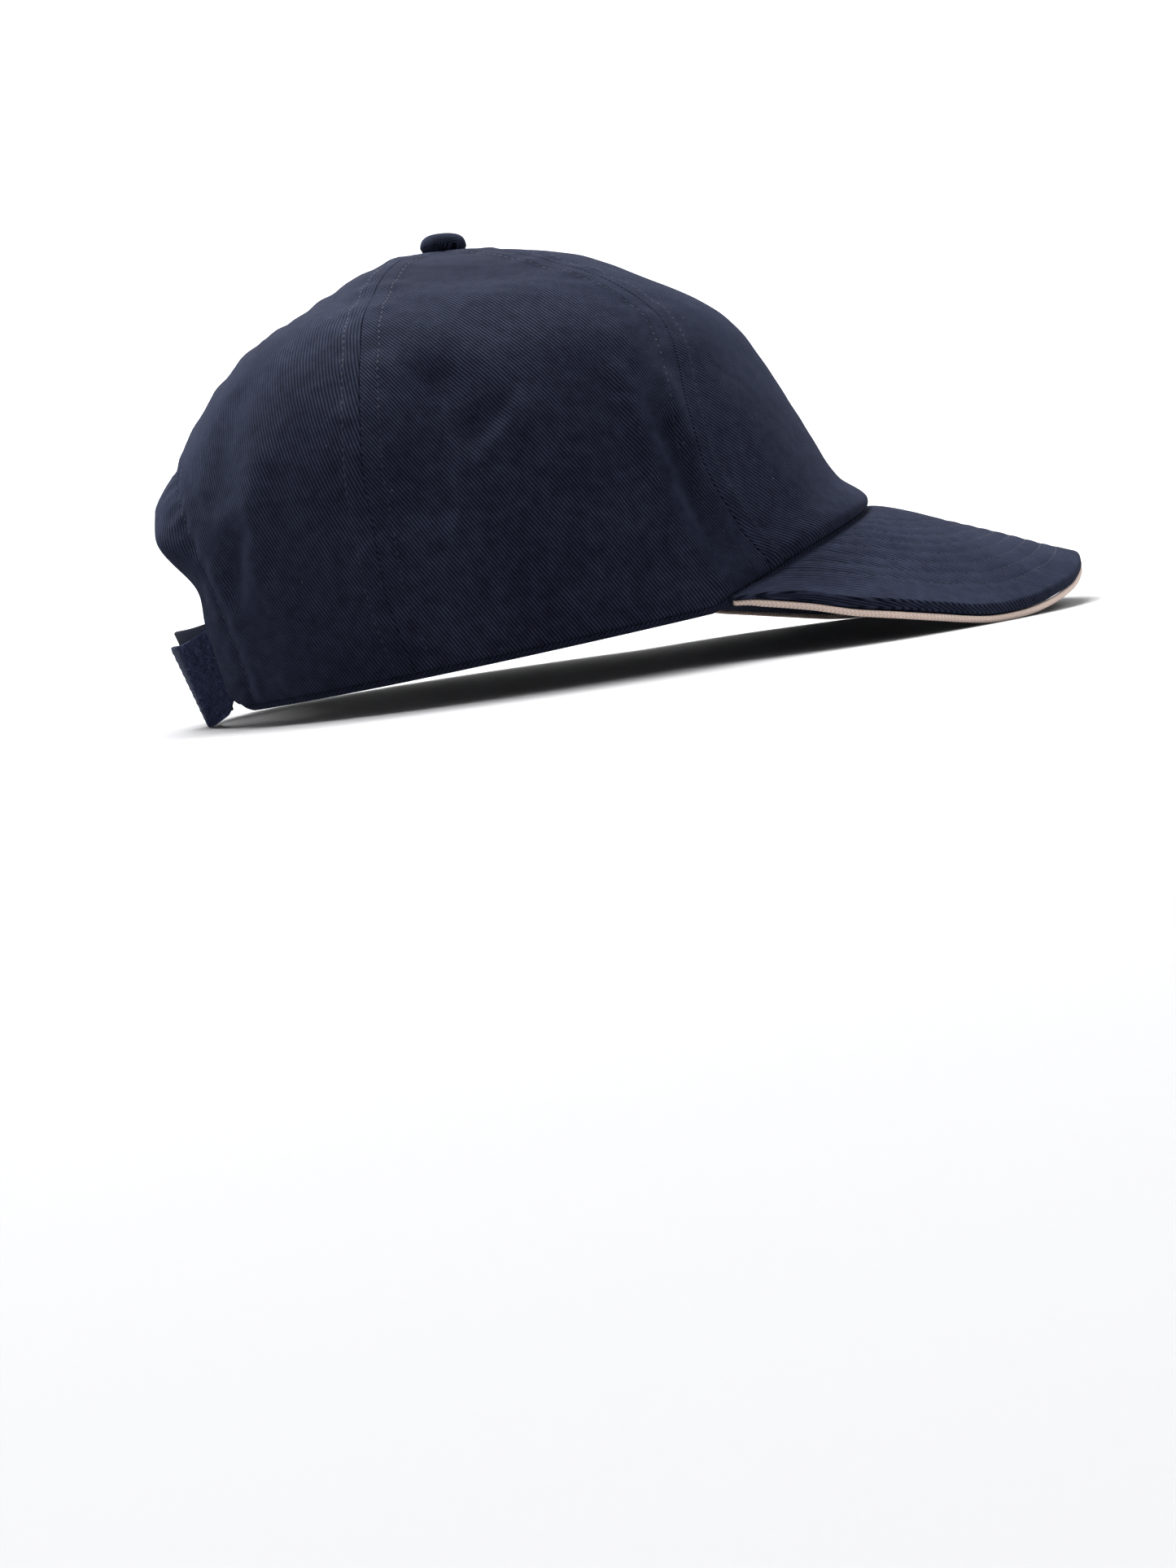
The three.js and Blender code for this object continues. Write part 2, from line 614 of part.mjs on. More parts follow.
// The cap rests on the strap's end and on the two low edges of its peak: the tilt makes them level.
function lowest(points, tilt) {
  return Math.min(...points.map((place) => place.z * Math.cos(tilt) + place.x * Math.sin(tilt)));
}

function restTilt() {
  const places = cap.children.flatMap((piece) => {
    const position = piece.geometry.getAttribute("position");
    return Array.from({ length: position.count }, (_, i) => new THREE.Vector3().fromBufferAttribute(position, i));
  });
  const behind = places.filter((place) => place.x < 0);
  const ahead = places.filter((place) => place.x >= 0);
  return solve((tilt) => lowest(ahead, tilt) - lowest(behind, tilt), 0, -0.3, 0.3);
}

cap.rotation.y = -restTilt();

// The origin is the middle of the cap's box, on the surface that it rests on.
const object = new THREE.Group();
object.add(cap);
object.updateMatrixWorld(true);
const box = new THREE.Box3().setFromObject(object, true);
cap.position.set(-(box.min.x + box.max.x) / 2, -(box.min.y + box.max.y) / 2, -box.min.z);
object.updateMatrixWorld(true);

export default object;
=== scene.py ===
# %% [markdown]
# # A six-panel cotton cap
# This lesson dresses a measured frame of a soft cap: six twill panels, a covered button, a stitched peak
# with piping along its edge, a sweatband and a two-part strap under an arch at the back. The frame gives
# places and sizes; each cell below makes one piece or one finish on top of it.

# %% The frame
import json
import math

import bpy
import numpy as np
from mathutils import Matrix, Vector


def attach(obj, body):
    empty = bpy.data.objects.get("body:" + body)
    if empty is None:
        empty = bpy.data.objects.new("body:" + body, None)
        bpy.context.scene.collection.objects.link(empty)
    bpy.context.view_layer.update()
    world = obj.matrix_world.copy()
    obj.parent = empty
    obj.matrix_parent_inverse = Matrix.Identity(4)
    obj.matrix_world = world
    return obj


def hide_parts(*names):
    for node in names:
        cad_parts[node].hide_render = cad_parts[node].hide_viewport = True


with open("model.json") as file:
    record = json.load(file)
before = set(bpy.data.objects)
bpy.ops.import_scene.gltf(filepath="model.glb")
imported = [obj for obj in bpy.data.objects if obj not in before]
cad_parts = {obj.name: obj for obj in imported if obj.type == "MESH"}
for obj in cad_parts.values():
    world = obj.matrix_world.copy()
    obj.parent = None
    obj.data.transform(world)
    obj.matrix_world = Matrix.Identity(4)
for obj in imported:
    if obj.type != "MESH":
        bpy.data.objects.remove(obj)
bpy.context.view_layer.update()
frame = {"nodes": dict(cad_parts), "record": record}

MM = 0.001

# %% [markdown]
# ## Sizes of the cap
# The cap is shaped round its button axis, with the rim plane at zero height, +X to the peak and +Y to the
# wearer's left. These are its driving sizes in millimetres, the same ones that shaped the frame.

# %% Driving sizes
CROWN_HEIGHT = 117.1
CROWN_FRONT = 110.0
CROWN_BACK = 99.0
CROWN_HALF_WIDTH = 84.0
RIM_SQUARENESS = 2.15
RIM_RISE = 16.5
RIM_RISE_END = math.radians(62)
PANEL_CLOTH = 1.5
SEAM_GAP = 0.3

ARCH_HEIGHT = 58.0
ARCH_HALF_WIDTH = 41.0
ARCH_FLARE = 3.6
ARCH_HEM = 9.0

BUTTON_RADIUS = 7.0
BUTTON_HEIGHT = 5.5

PEAK_REACH = 61.0
PEAK_HALF_WIDTH = 87.0
PEAK_DIP = 21.7
PEAK_END = math.radians(58.5)
PEAK_SWEEP = math.radians(101)
PEAK_SPREAD = 0.6
PEAK_PUFF = 3.6
PEAK_UPPER = 3.0
PEAK_UNDER = 1.5
PIPING_RADIUS = 0.95

SWEATBAND_HEIGHT = 30.0
SWEATBAND_CLOTH = 1.6
SWEATBAND_SHOWN = 2.0

STRAP_WIDTH = 25.0
STRAP_CLOTH = 1.6
STRAP_TUCK = 12.0
STRAP_LEAN = math.radians(12.5)
STRAP_BOW = 4.4
STRAP_SEAT = 13.2
STRAP_DROOP = 6.3
STRAP_SETTLE = 2.2
STRAP_OVERLAP = 30.0
print("crown, mm:", CROWN_FRONT + CROWN_BACK, "by", 2 * CROWN_HALF_WIDTH, "and", CROWN_HEIGHT, "high")

# %% [markdown]
# The crown's outline comes from three meridians, at its front, side and back. Each row says how far down
# the meridian it lies (step), and the radius and height there as shares of the rim's radius and the
# crown's height. The seams wander a little in azimuth as they come down, so they have a table as well.

# %% Tables of the crown
MERIDIANS = {
    "step": [0, 0.14, 0.26, 0.38, 0.52, 0.67, 0.82, 0.92, 0.97, 1],
    "front_radius": [0, 0.2, 0.37, 0.52, 0.692, 0.788, 0.87, 0.926, 0.989, 0.986],
    "front_height": [1, 0.962, 0.911, 0.818, 0.694, 0.52, 0.292, 0.135, 0.052, 0],
    "side_radius": [0, 0.27, 0.495, 0.695, 0.855, 0.957, 0.995, 1.003, 1.003, 1],
    "side_height": [1, 0.955, 0.872, 0.786, 0.635, 0.44, 0.24, 0.105, 0.04, 0],
    "back_radius": [0, 0.248, 0.451, 0.647, 0.837, 0.968, 1.003, 1.002, 1.001, 1],
    "back_height": [1, 0.975, 0.912, 0.836, 0.69, 0.494, 0.271, 0.12, 0.045, 0],
}
SEAMS = {
    "step": [0, 0.14, 0.28, 0.42, 0.5, 0.58, 0.68, 0.78, 0.88, 1],
    "front": [60, 57, 53, 48, 48, 51, 55, 56, 53.5, 49.5],
    "rear": [137, 133, 125, 120.5, 119.5, 119, 119, 118.5, 118.5, 116.5],
}
PEAK_EDGE = {
    "across": [0, 0.19, 0.33, 0.45, 0.52, 0.6, 0.7, 0.81, 0.87, 0.95, 1],
    "dip": [0.673, 0.733, 0.885, 0.982, 1, 0.949, 0.751, 0.493, 0.309, 0.12, 0.074],
}

# Soft folds: side of the head, azimuth and step where the fold starts and ends, and its width and height
# as shares of the crown's half width. A height below zero is a valley.
FOLDS = [
    (-1, 104, 0.53, 109, 0.73, 0.1, -0.028),
    (-1, 130, 0.8, 105, 0.79, 0.06, 0.012),
    (-1, 105, 0.79, 97, 0.72, 0.06, 0.011),
    (-1, 97, 0.625, 93, 0.6, 0.045, -0.014),
    (-1, 88, 0.61, 98, 0.68, 0.05, 0.01),
    (-1, 68, 0.58, 70, 0.8, 0.12, -0.02),
    (-1, 60.5, 0.7, 59.5, 0.9, 0.042, -0.03),
    (-1, 66, 0.58, 65.5, 0.76, 0.045, 0.012),
    (-1, 57, 0.62, 58, 0.8, 0.04, 0.014),
    (-1, 151, 0.5, 149, 0.66, 0.075, -0.017),
    (-1, 140, 0.62, 142, 0.8, 0.055, 0.012),
    (-1, 145, 0.74, 148, 0.82, 0.05, -0.02),
    (-1, 118, 0.28, 77, 0.34, 0.08, 0.006),
    (1, 100, 0.55, 106, 0.74, 0.1, -0.024),
    (1, 128, 0.79, 98, 0.76, 0.06, 0.011),
    (1, 64, 0.62, 62, 0.84, 0.08, -0.022),
    (1, 150, 0.55, 146, 0.72, 0.075, -0.015),
    (1, 116, 0.28, 78, 0.34, 0.08, 0.006),
]
FOLD_FADE = (0.82, 0.93)
print("stations down a meridian:", len(MERIDIANS["step"]), "folds:", len(FOLDS))

# %% [markdown]
# ## Curves through tables
# A smooth curve has to pass through every knot of a table without kinks. A cubic piece between two knots
# does that once each knot has a slope, and the weighted mean of the slopes beside it is a good one.

# %% Curves
def smooth_curve(knots, values):
    """Hermite cubics through the knots; an inner slope is the weighted mean of the slopes beside it."""
    knots, values = np.asarray(knots, float), np.asarray(values, float)
    lengths = np.diff(knots)
    slopes = np.diff(values) / lengths
    inner = (slopes[:-1] * lengths[:-1] + slopes[1:] * lengths[1:]) / (lengths[:-1] + lengths[1:])
    tangents = np.concatenate([slopes[:1], inner, slopes[-1:]])

    def at(x):
        x = np.asarray(x, float)
        i = np.clip(np.searchsorted(knots, x, side="left") - 1, 0, len(lengths) - 1)
        h = lengths[i]
        t = (x - knots[i]) / h
        start = (2 * t**3 - 3 * t**2 + 1) * values[i] + (t**3 - 2 * t**2 + t) * h * tangents[i]
        end = (3 * t**2 - 2 * t**3) * values[i + 1] + (t**3 - t**2) * h * tangents[i + 1]
        return start + end

    return at


def curves_of(table):
    """One smooth curve for each column of a table, over its first column."""
    first, *others = table
    return {name: smooth_curve(table[first], table[name]) for name in others}


def smooth_step(low, high, value):
    """0 below low, 1 above high and 3t^2 - 2t^3 between them."""
    t = np.clip((value - low) / (high - low), 0, 1)
    return t * t * (3 - 2 * t)


def mix(start, end, share):
    """start where share is 0, end where it is 1."""
    return start + (end - start) * share


def bell(distance, width):
    """exp(-(distance / width)^2)"""
    return np.exp(-((distance / width) ** 2))


meridian = curves_of(MERIDIANS)
seam_angle = curves_of(SEAMS)
edge_dip = curves_of(PEAK_EDGE)["dip"]
print("curves:", len(meridian) + len(seam_angle) + 1)

# %% [markdown]
# ## The crown as a function of two parameters
# Every point of the crown has an azimuth, counted from the front, and a step down its meridian. The three
# meridians blend by the squares of the azimuth's cosine and sine, which keeps the surface smooth all
# round.

# %% The smooth crown
def stack(x, y, z):
    """Points from their three coordinates, which may be grids, rows, columns or numbers."""
    return np.stack(np.broadcast_arrays(x, y, z), -1).astype(float)


def unit(vectors):
    """vector / |vector|"""
    return vectors / np.maximum(np.linalg.norm(vectors, axis=-1, keepdims=True), 1e-12)


def rim_radius(azimuth):
    """In plan (|cos / length|^n + |sin / half width|^n)^(-1/n), longer to the front than to the back."""
    length = np.where(np.cos(azimuth) > 0, CROWN_FRONT, CROWN_BACK)
    along = np.abs(np.cos(azimuth)) / length
    across = np.abs(np.sin(azimuth)) / CROWN_HALF_WIDTH
    return (along**RIM_SQUARENESS + across**RIM_SQUARENESS) ** (-1 / RIM_SQUARENESS)


def rim_height(azimuth):
    """The rim lifts over the peak by (1 - (azimuth / end)^2)^1.1 of its rise."""
    return RIM_RISE * np.maximum(0, 1 - (azimuth / RIM_RISE_END) ** 2) ** 1.1


def smooth_crown(azimuth, step):
    """Radius and height from the front or back meridian times cos^2 plus the side meridian times sin^2."""
    azimuth, step = np.broadcast_arrays(np.asarray(azimuth, float), np.asarray(step, float))
    along = np.cos(azimuth) ** 2
    ahead = np.cos(azimuth) > 0
    end_radius = np.where(ahead, meridian["front_radius"](step), meridian["back_radius"](step))
    end_height = np.where(ahead, meridian["front_height"](step), meridian["back_height"](step))
    radius = (along * end_radius + (1 - along) * meridian["side_radius"](step)) * rim_radius(azimuth)
    height = (along * end_height + (1 - along) * meridian["side_height"](step)) * CROWN_HEIGHT
    return stack(radius * np.cos(azimuth), radius * np.sin(azimuth), height + rim_height(azimuth) * step**4)


def normals_of(surface, azimuth, step, reach=0.002):
    """The cross product of the slopes down and around, from differences over a small reach."""
    low, high = np.maximum(reach, step - reach), np.minimum(1, step + reach)
    around = surface(azimuth + reach, step) - surface(azimuth - reach, step)
    down = surface(azimuth, high) - surface(azimuth, low)
    return unit(np.cross(down, around))


def ring_radius(azimuth, step):
    """Distance of a crown point from the button's axis: the root of x^2 + y^2."""
    place = smooth_crown(azimuth, step)
    return np.hypot(place[..., 0], place[..., 1])

# %% [markdown]
# A sewn panel lies almost flat before it is sewn, so its weave runs straight in the panel's own flat
# coordinates: millimetres across from the panel's middle and millimetres down from the button. Those two
# lengths are the UV map, seen from outside with x to the right and y downwards.

# %% Lengths on the crown
LENGTH_STEPS = np.linspace(0, 1, 401)


def run_lengths(path):
    """The length along a path of points up to each of them, summed over its chords."""
    return np.concatenate([[0], np.cumsum(np.linalg.norm(np.diff(path, axis=0), axis=1))])


END_ANGLES = {"front": 0, "side": math.pi / 2, "back": math.pi}
END_LENGTHS = {end: run_lengths(smooth_crown(angle, LENGTH_STEPS)) for end, angle in END_ANGLES.items()}


def length_down(azimuth, step):
    """The front or back meridian's length times cos^2 plus the side meridian's times sin^2."""
    along = np.cos(azimuth) ** 2
    read = {end: np.interp(step, LENGTH_STEPS, lengths) for end, lengths in END_LENGTHS.items()}
    end = np.where(np.cos(azimuth) > 0, read["front"], read["back"])
    return along * end + (1 - along) * read["side"]


def flat_place(azimuth, step, middle):
    """x is the ring's arc from the panel's middle, y is the length down the meridian, both in millimetres."""
    across = (azimuth - middle) * ring_radius((azimuth + middle) / 2, step)
    return np.stack([across, length_down(azimuth, step)], -1)


print("meridians, mm:", {end: round(float(lengths[-1])) for end, lengths in END_LENGTHS.items()})

# %% [markdown]
# ## Folds, flare and the relief of the seams
# Soft folds are bells that fall off with the distance from a line. Over them goes what sewing does to
# cloth: the seam allowance lifts a strip beside each seam, the topstitching pulls a groove into it, and
# the cloth puckers between the stitches. All of it is height along the normal, in millimetres.

# %% Folds and flare
MERIDIAN_SCALE = CROWN_HEIGHT + 0.4 * CROWN_FRONT
FLARE_LOW = 0.15
FLARE_BELLS = [(0.65, 0.82, 0.11), (-0.8, 0.56, 0.13)]


def bell_line(azimuth, step, fold):
    """Height times exp(-(distance / width)^2), for the distance to the fold's line in millimetres."""
    side, from_angle, from_step, to_angle, to_step, width, height = fold
    angle = np.degrees(np.abs(azimuth))
    scale = CROWN_HALF_WIDTH * meridian["side_radius"]((from_step + to_step) / 2) * math.radians(1)
    line = np.array([(to_angle - from_angle) * scale, (to_step - from_step) * MERIDIAN_SCALE])
    x = (angle - from_angle) * scale
    y = (step - from_step) * MERIDIAN_SCALE
    share = np.clip((x * line[0] + y * line[1]) / (line @ line), 0, 1)
    distance = np.hypot(x - line[0] * share, y - line[1] * share)
    lift = height * CROWN_HALF_WIDTH * bell(distance, width * CROWN_HALF_WIDTH)
    return np.where(np.sign(azimuth) == side, lift, 0)


def fold_height(azimuth, step):
    """The sum of all folds, faded out above the hem so that the rim stays smooth."""
    total = sum(bell_line(azimuth, step, fold) for fold in FOLDS)
    return total * (1 - smooth_step(*FOLD_FADE, step))


FAR_FROM_ARCH = 1000.0


def beyond_arch(place):
    """Distance outside the arch's half ellipse, in millimetres; below zero inside it."""
    across = place[..., 1] / ARCH_HALF_WIDTH
    up = np.maximum(0, place[..., 2]) / ARCH_HEIGHT
    distance = (np.hypot(across, up) - 1) * min(ARCH_HEIGHT, ARCH_HALF_WIDTH)
    return np.where(place[..., 0] > 0, FAR_FROM_ARCH, distance)


def flare_height(place):
    """The arch's edge stands out near its top and is pinched in below, as an S when seen from the side.

    Each row of the bells is a height as a share of the flare, a place up the arch and a width.
    """
    up = np.clip(place[..., 2] / ARCH_HEIGHT, 0, 1)
    bulge = sum(height * bell(up - middle, width) for height, middle, width in FLARE_BELLS)
    rise = FLARE_LOW + (1 - FLARE_LOW) * up**2 + bulge
    return ARCH_FLARE * rise * (1 - smooth_step(0, ARCH_HEM, beyond_arch(place)))


print("deepest fold, mm:", round(min(fold[-1] for fold in FOLDS) * CROWN_HALF_WIDTH, 1))

# %% [markdown]
# Cloth is never quite even. A dozen or so sine waves with seeded directions and phases, all of about one
# wavelength, add up to a soft unevenness that is the same on every run.

# %% Unevenness
def ripple(x, y, wavelength, seed, waves=14):
    """The sum of sine waves with seeded directions, phases and lengths, over the root of their number."""
    draw = np.random.default_rng(seed)
    turns = draw.uniform(0, 2 * math.pi, waves)
    phases = draw.uniform(0, 2 * math.pi, waves)
    lengths = wavelength * draw.uniform(0.7, 1.4, waves)
    total = sum(
        np.sin(2 * math.pi * (x * math.cos(turn) + y * math.sin(turn)) / length + phase)
        for turn, phase, length in zip(turns, phases, lengths)
    )
    return total / math.sqrt(waves)


print("ripple at one place:", round(float(ripple(0.0, 0.0, 34, 11)), 3))

# %% [markdown]
# Every seam's relief depends on the distance from the nearest seam, and near the arch on the distance from
# its edge. Both are worked out for all grid points at once.

# %% The relief of the seams
STITCH_LINE = 5.0
ALLOWANCE_HEIGHT = 0.4
GROOVE_DEPTH = 0.22
GROOVE_WIDTH = 0.5
PUCKER_HEIGHT = 0.2
PUCKER_LENGTH = 9.0
PUCKER_REACH = 3.5

# The arch's hem: its stitch line's distance from the edge, a ridge and a valley beside that line (height,
# distance outside the line, width), and where the hem's relief gives way to the seams' beyond the line.
HEM_LINE = 8.5
HEM_FOLDS = [(0.5, 3.0, 2.0), (-0.45, 0.0, 1.4)]
HEM_BLEND = (2.0, 5.0)


def seam_distance(azimuth, step, seam):
    """Arc from a seam on the ring, shortened by the seam's slant; seam is azimuth by step, in radians."""
    reach = 0.01
    slope = (seam(np.minimum(1, step + reach)) - seam(np.maximum(0, step - reach))) / (2 * reach)
    radius = ring_radius(azimuth, step)
    slant = slope * radius / MERIDIAN_SCALE
    return np.abs(azimuth - seam(step)) * radius / np.sqrt(1 + slant**2)


def seam_lines():
    """The six seams of the crown as functions from step to azimuth."""
    lines = [lambda step: 0 * step, lambda step: math.pi + 0 * step, lambda step: -math.pi + 0 * step]
    for side in (-1, 1):
        for name in ("front", "rear"):
            lines.append(lambda step, side=side, name=name: side * np.radians(seam_angle[name](step)))
    return lines


def stitched_strip(distance, line, along, seed):
    """A raised strip out to the stitch line, a groove on the line and puckers round it."""
    strip = ALLOWANCE_HEIGHT * (1 - smooth_step(line - 0.4, line + 1.6, distance))
    groove = GROOVE_DEPTH * bell(distance - line, GROOVE_WIDTH)
    waves = ripple(along, 0 * along + seed, PUCKER_LENGTH, seed)
    pucker = PUCKER_HEIGHT * waves * bell(distance - line, PUCKER_REACH)
    return strip - groove + pucker


def seam_relief(azimuth, step):
    """Strips beside the nearest seam, or beside the arch's edge within its hem, and the hem's own fold."""
    along = length_down(azimuth, step)
    distances = np.stack([seam_distance(azimuth, step, seam) for seam in seam_lines()])
    nearest = distances.min(axis=0)
    relief = stitched_strip(nearest, STITCH_LINE, along, 3)
    place = smooth_crown(azimuth, step)
    hem = beyond_arch(place)
    fold = sum(height * bell(hem - HEM_LINE - out, width) for height, out, width in HEM_FOLDS)
    hemmed = stitched_strip(hem, HEM_LINE, place[..., 1] + place[..., 2], 5) + fold
    beyond = smooth_step(HEM_LINE + HEM_BLEND[0], HEM_LINE + HEM_BLEND[1], hem)
    return mix(hemmed, relief + fold, beyond)


print("seams:", len(seam_lines()))

# %% [markdown]
# Three more lifts make the crown's surface: the front hem rolls under, the top stands up a little behind
# the button, and the cloth is uneven in broad and in fine waves that settle towards the rim.

# %% The dressed crown
FRONT_ROLL = 2.4
ROLL_AHEAD = (0.45, 0.8)
TOP_RISE = 1.6
RISE_BEHIND = 14.0
RISE_LENGTH = 13.0
RISE_WIDTH = 20.0
UNEVEN = [(0.16, 34, 11), (0.05, 11, 12)]
SETTLED = 0.8


def quarter_round(distance, radius):
    """How far a face has curved in at a distance from the edge: r - sqrt(r^2 - (r - d)^2), and 0 past r."""
    short = np.clip(radius - distance, 0, radius)
    return radius - np.sqrt(radius**2 - short**2)


def rolled_hem(azimuth, step):
    """At the front the last millimetres above the rim curve inwards, because the hem is turned under."""
    above = MERIDIAN_SCALE * (1 - step)
    return quarter_round(above, FRONT_ROLL) * smooth_step(*ROLL_AHEAD, np.cos(azimuth))


def top_rise(place):
    """Rise times exp(-along^2 - across^2), each counted in its own length from a point behind the button."""
    along = (place[..., 0] + RISE_BEHIND) / RISE_LENGTH
    across = place[..., 1] / RISE_WIDTH
    return TOP_RISE * np.exp(-(along**2) - across**2)


def dressed_crown(azimuth, step):
    """The smooth crown, lifted along its normal by folds, flare, seam relief and unevenness."""
    place = smooth_crown(azimuth, step)
    x, y = azimuth * ring_radius(azimuth, step), length_down(azimuth, step)
    lift = fold_height(azimuth, step) + flare_height(place) + seam_relief(azimuth, step)
    settled = 1 - SETTLED * smooth_step(0.85, 1, step)
    uneven = sum(height * ripple(x, y, wavelength, seed) for height, wavelength, seed in UNEVEN)
    lift = lift + settled * uneven
    lift = lift - rolled_hem(azimuth, step) + top_rise(place)
    return place + normals_of(smooth_crown, azimuth, step) * lift[..., None]


print("rise behind the button, mm:", TOP_RISE)

# %% [markdown]
# ## From grids to closed sheets
# Each cloth piece is a sheet with two faces. The outer face is a grid of points, the inner face lies one
# cloth's thickness below it, and four strips of faces close the edges. Near an edge both faces curve
# towards each other on a quarter round, so that the edge catches light like folded cloth.

# %% Closed sheets
def grid_faces(rows, columns, start, flip):
    """The quads of a grid whose points are numbered row by row from start."""
    corner = start + np.arange(rows - 1)[:, None] * columns + np.arange(columns - 1)
    quads = np.stack([corner, corner + 1, corner + columns + 1, corner + columns], -1).reshape(-1, 4)
    return quads[:, ::-1] if flip else quads


def strip_faces(one, other):
    """The quads between two lines of point numbers."""
    return np.stack([one[:-1], one[1:], other[1:], other[:-1]], -1)


def sheet_faces(rows, columns):
    """Both faces of a sheet and the four strips that close it."""
    count = rows * columns
    index = np.arange(count).reshape(rows, columns)
    around = np.concatenate([index[0], index[1:, -1], index[-1, -2::-1], index[-2:0:-1, 0], index[0, :1]])
    faces = [grid_faces(rows, columns, 0, False), grid_faces(rows, columns, count, True)]
    faces.append(strip_faces(around + count, around))
    return np.concatenate(faces)


def tube_faces(index):
    """The quads between neighbouring rings of point numbers, each ring closed on itself."""
    wrapped = np.concatenate([index, index[:, :1]], 1)
    return np.concatenate([strip_faces(wrapped[i], wrapped[i + 1]) for i in range(len(index) - 1)])


def signed_volume(points, quads):
    """Six times the volume inside closed faces, above zero when they face outwards."""
    a, b, c, d = (points[quads[:, i]] for i in range(4))
    return np.einsum("ij,ij->", a, np.cross(b, c)) + np.einsum("ij,ij->", a, np.cross(c, d))


def rest_pose():
    """The tilt and place of the cap on its surface, from the frame's level edge and its button's top."""
    axis = frame["record"]["mounts"][0]["axis"]
    tilt = math.atan2(axis[0], -axis[2])
    button = frame["nodes"]["button"].data
    places = np.empty(len(button.vertices) * 3)
    button.vertices.foreach_get("co", places)
    places = places.reshape(-1, 3) / MM
    upward = np.array([-math.sin(tilt), 0, math.cos(tilt)])
    return tilt, places[np.argmax(places @ upward)]


REST_TILT, BUTTON_TOP = rest_pose()
TOP_STEP = float(np.interp(BUTTON_RADIUS / 2, smooth_crown(math.pi / 2, LENGTH_STEPS)[:, 1], LENGTH_STEPS))
BUTTON_SEAT = max(smooth_crown(azimuth, TOP_STEP)[2] for azimuth in (0, math.pi / 2, math.pi)) + SEAM_GAP


def tilted(vectors):
    """Turned about Y so that the peak rises by the rest tilt."""
    x, y, z = np.moveaxis(np.asarray(vectors, float), -1, 0)
    cosine, sine = math.cos(REST_TILT), math.sin(REST_TILT)
    return np.stack([x * cosine - z * sine, y, x * sine + z * cosine], -1)


OFFSET = BUTTON_TOP - tilted([0, 0, BUTTON_SEAT + BUTTON_HEIGHT])
print("rest tilt, degrees:", round(math.degrees(REST_TILT), 2), "offset, mm:", OFFSET.round(2))


def at_rest(points):
    """From the cap's millimetres to metres in the frame, where it lies tilted on its surface."""
    return (tilted(points) + OFFSET) * MM


def link_mesh(name, points, faces, flat=None):
    """A smooth mesh object from points in metres, with flat millimetres as its UV map where there are any."""
    mesh = bpy.data.meshes.new(name)
    mesh.from_pydata(points, [], faces)
    mesh.polygons.foreach_set("use_smooth", np.ones(len(mesh.polygons), bool))
    if flat is not None:
        corners = np.empty(len(mesh.loops), np.int32)
        mesh.loops.foreach_get("vertex_index", corners)
        mesh.uv_layers.new(name="flat_mm").data.foreach_set("uv", np.asarray(flat)[corners].ravel())
    mesh.update()
    piece = bpy.data.objects.new(name, mesh)
    bpy.context.scene.collection.objects.link(piece)
    return piece


def make_mesh(name, points, faces, flat=None):
    """A piece from the cap's millimetres and closed quads, which are turned to face outwards."""
    if signed_volume(points, faces) < 0:
        faces = faces[:, ::-1]
    return link_mesh(name, at_rest(points), faces.tolist(), flat)


def edge_distances(places):
    """Distance from each grid point to the nearest of the grid's four edges, along rows and columns."""
    across = np.linalg.norm(np.diff(places, axis=1), axis=2)
    down = np.linalg.norm(np.diff(places, axis=0), axis=2)
    from_left = np.concatenate([np.zeros((len(places), 1)), np.cumsum(across, 1)], 1)
    from_top = np.concatenate([np.zeros((1, places.shape[1])), np.cumsum(down, 0)], 0)
    right, bottom = from_left[:, -1:] - from_left, from_top[-1:] - from_top
    return np.minimum(np.minimum(from_left, right), np.minimum(from_top, bottom))


def grid_normals(places):
    """Unit normals of a grid of points, from central differences, on the side away from the button's axis."""
    down = np.gradient(places, axis=0)
    across = np.gradient(places, axis=1)
    normals = unit(np.cross(down, across))
    return normals * np.sign(np.sum(normals[..., :2] * places[..., :2], -1).mean())


def cloth_sheet(name, face, thickness, flat, normals, rounding):
    """A closed sheet: the face, and its back one thickness below it, both rounded at the edges."""
    curl = quarter_round(edge_distances(face), rounding)[..., None] * normals
    front = face - curl
    back = face - thickness * normals + curl
    rows, columns = face.shape[:2]
    points = np.concatenate([front.reshape(-1, 3), back.reshape(-1, 3)])
    below = flat + np.array([0, thickness])
    coordinates = np.concatenate([flat.reshape(-1, 2), below.reshape(-1, 2)])
    return make_mesh(name, points, sheet_faces(rows, columns), coordinates)


def crowded(count, pull=0.8):
    """Values from 0 to 1 that lie closer together near both ends: u - pull sin(2 pi u) / (2 pi)."""
    u = np.linspace(0, 1, count)
    return u - pull * np.sin(2 * math.pi * u) / (2 * math.pi)

# %% [markdown]
# ## Shader maths as Python
# Materials here are worked out from coordinates. A small class wraps a socket, and the arithmetic signs
# on it add Math nodes, so a pattern reads like its formula. One method makes every other kind of node.

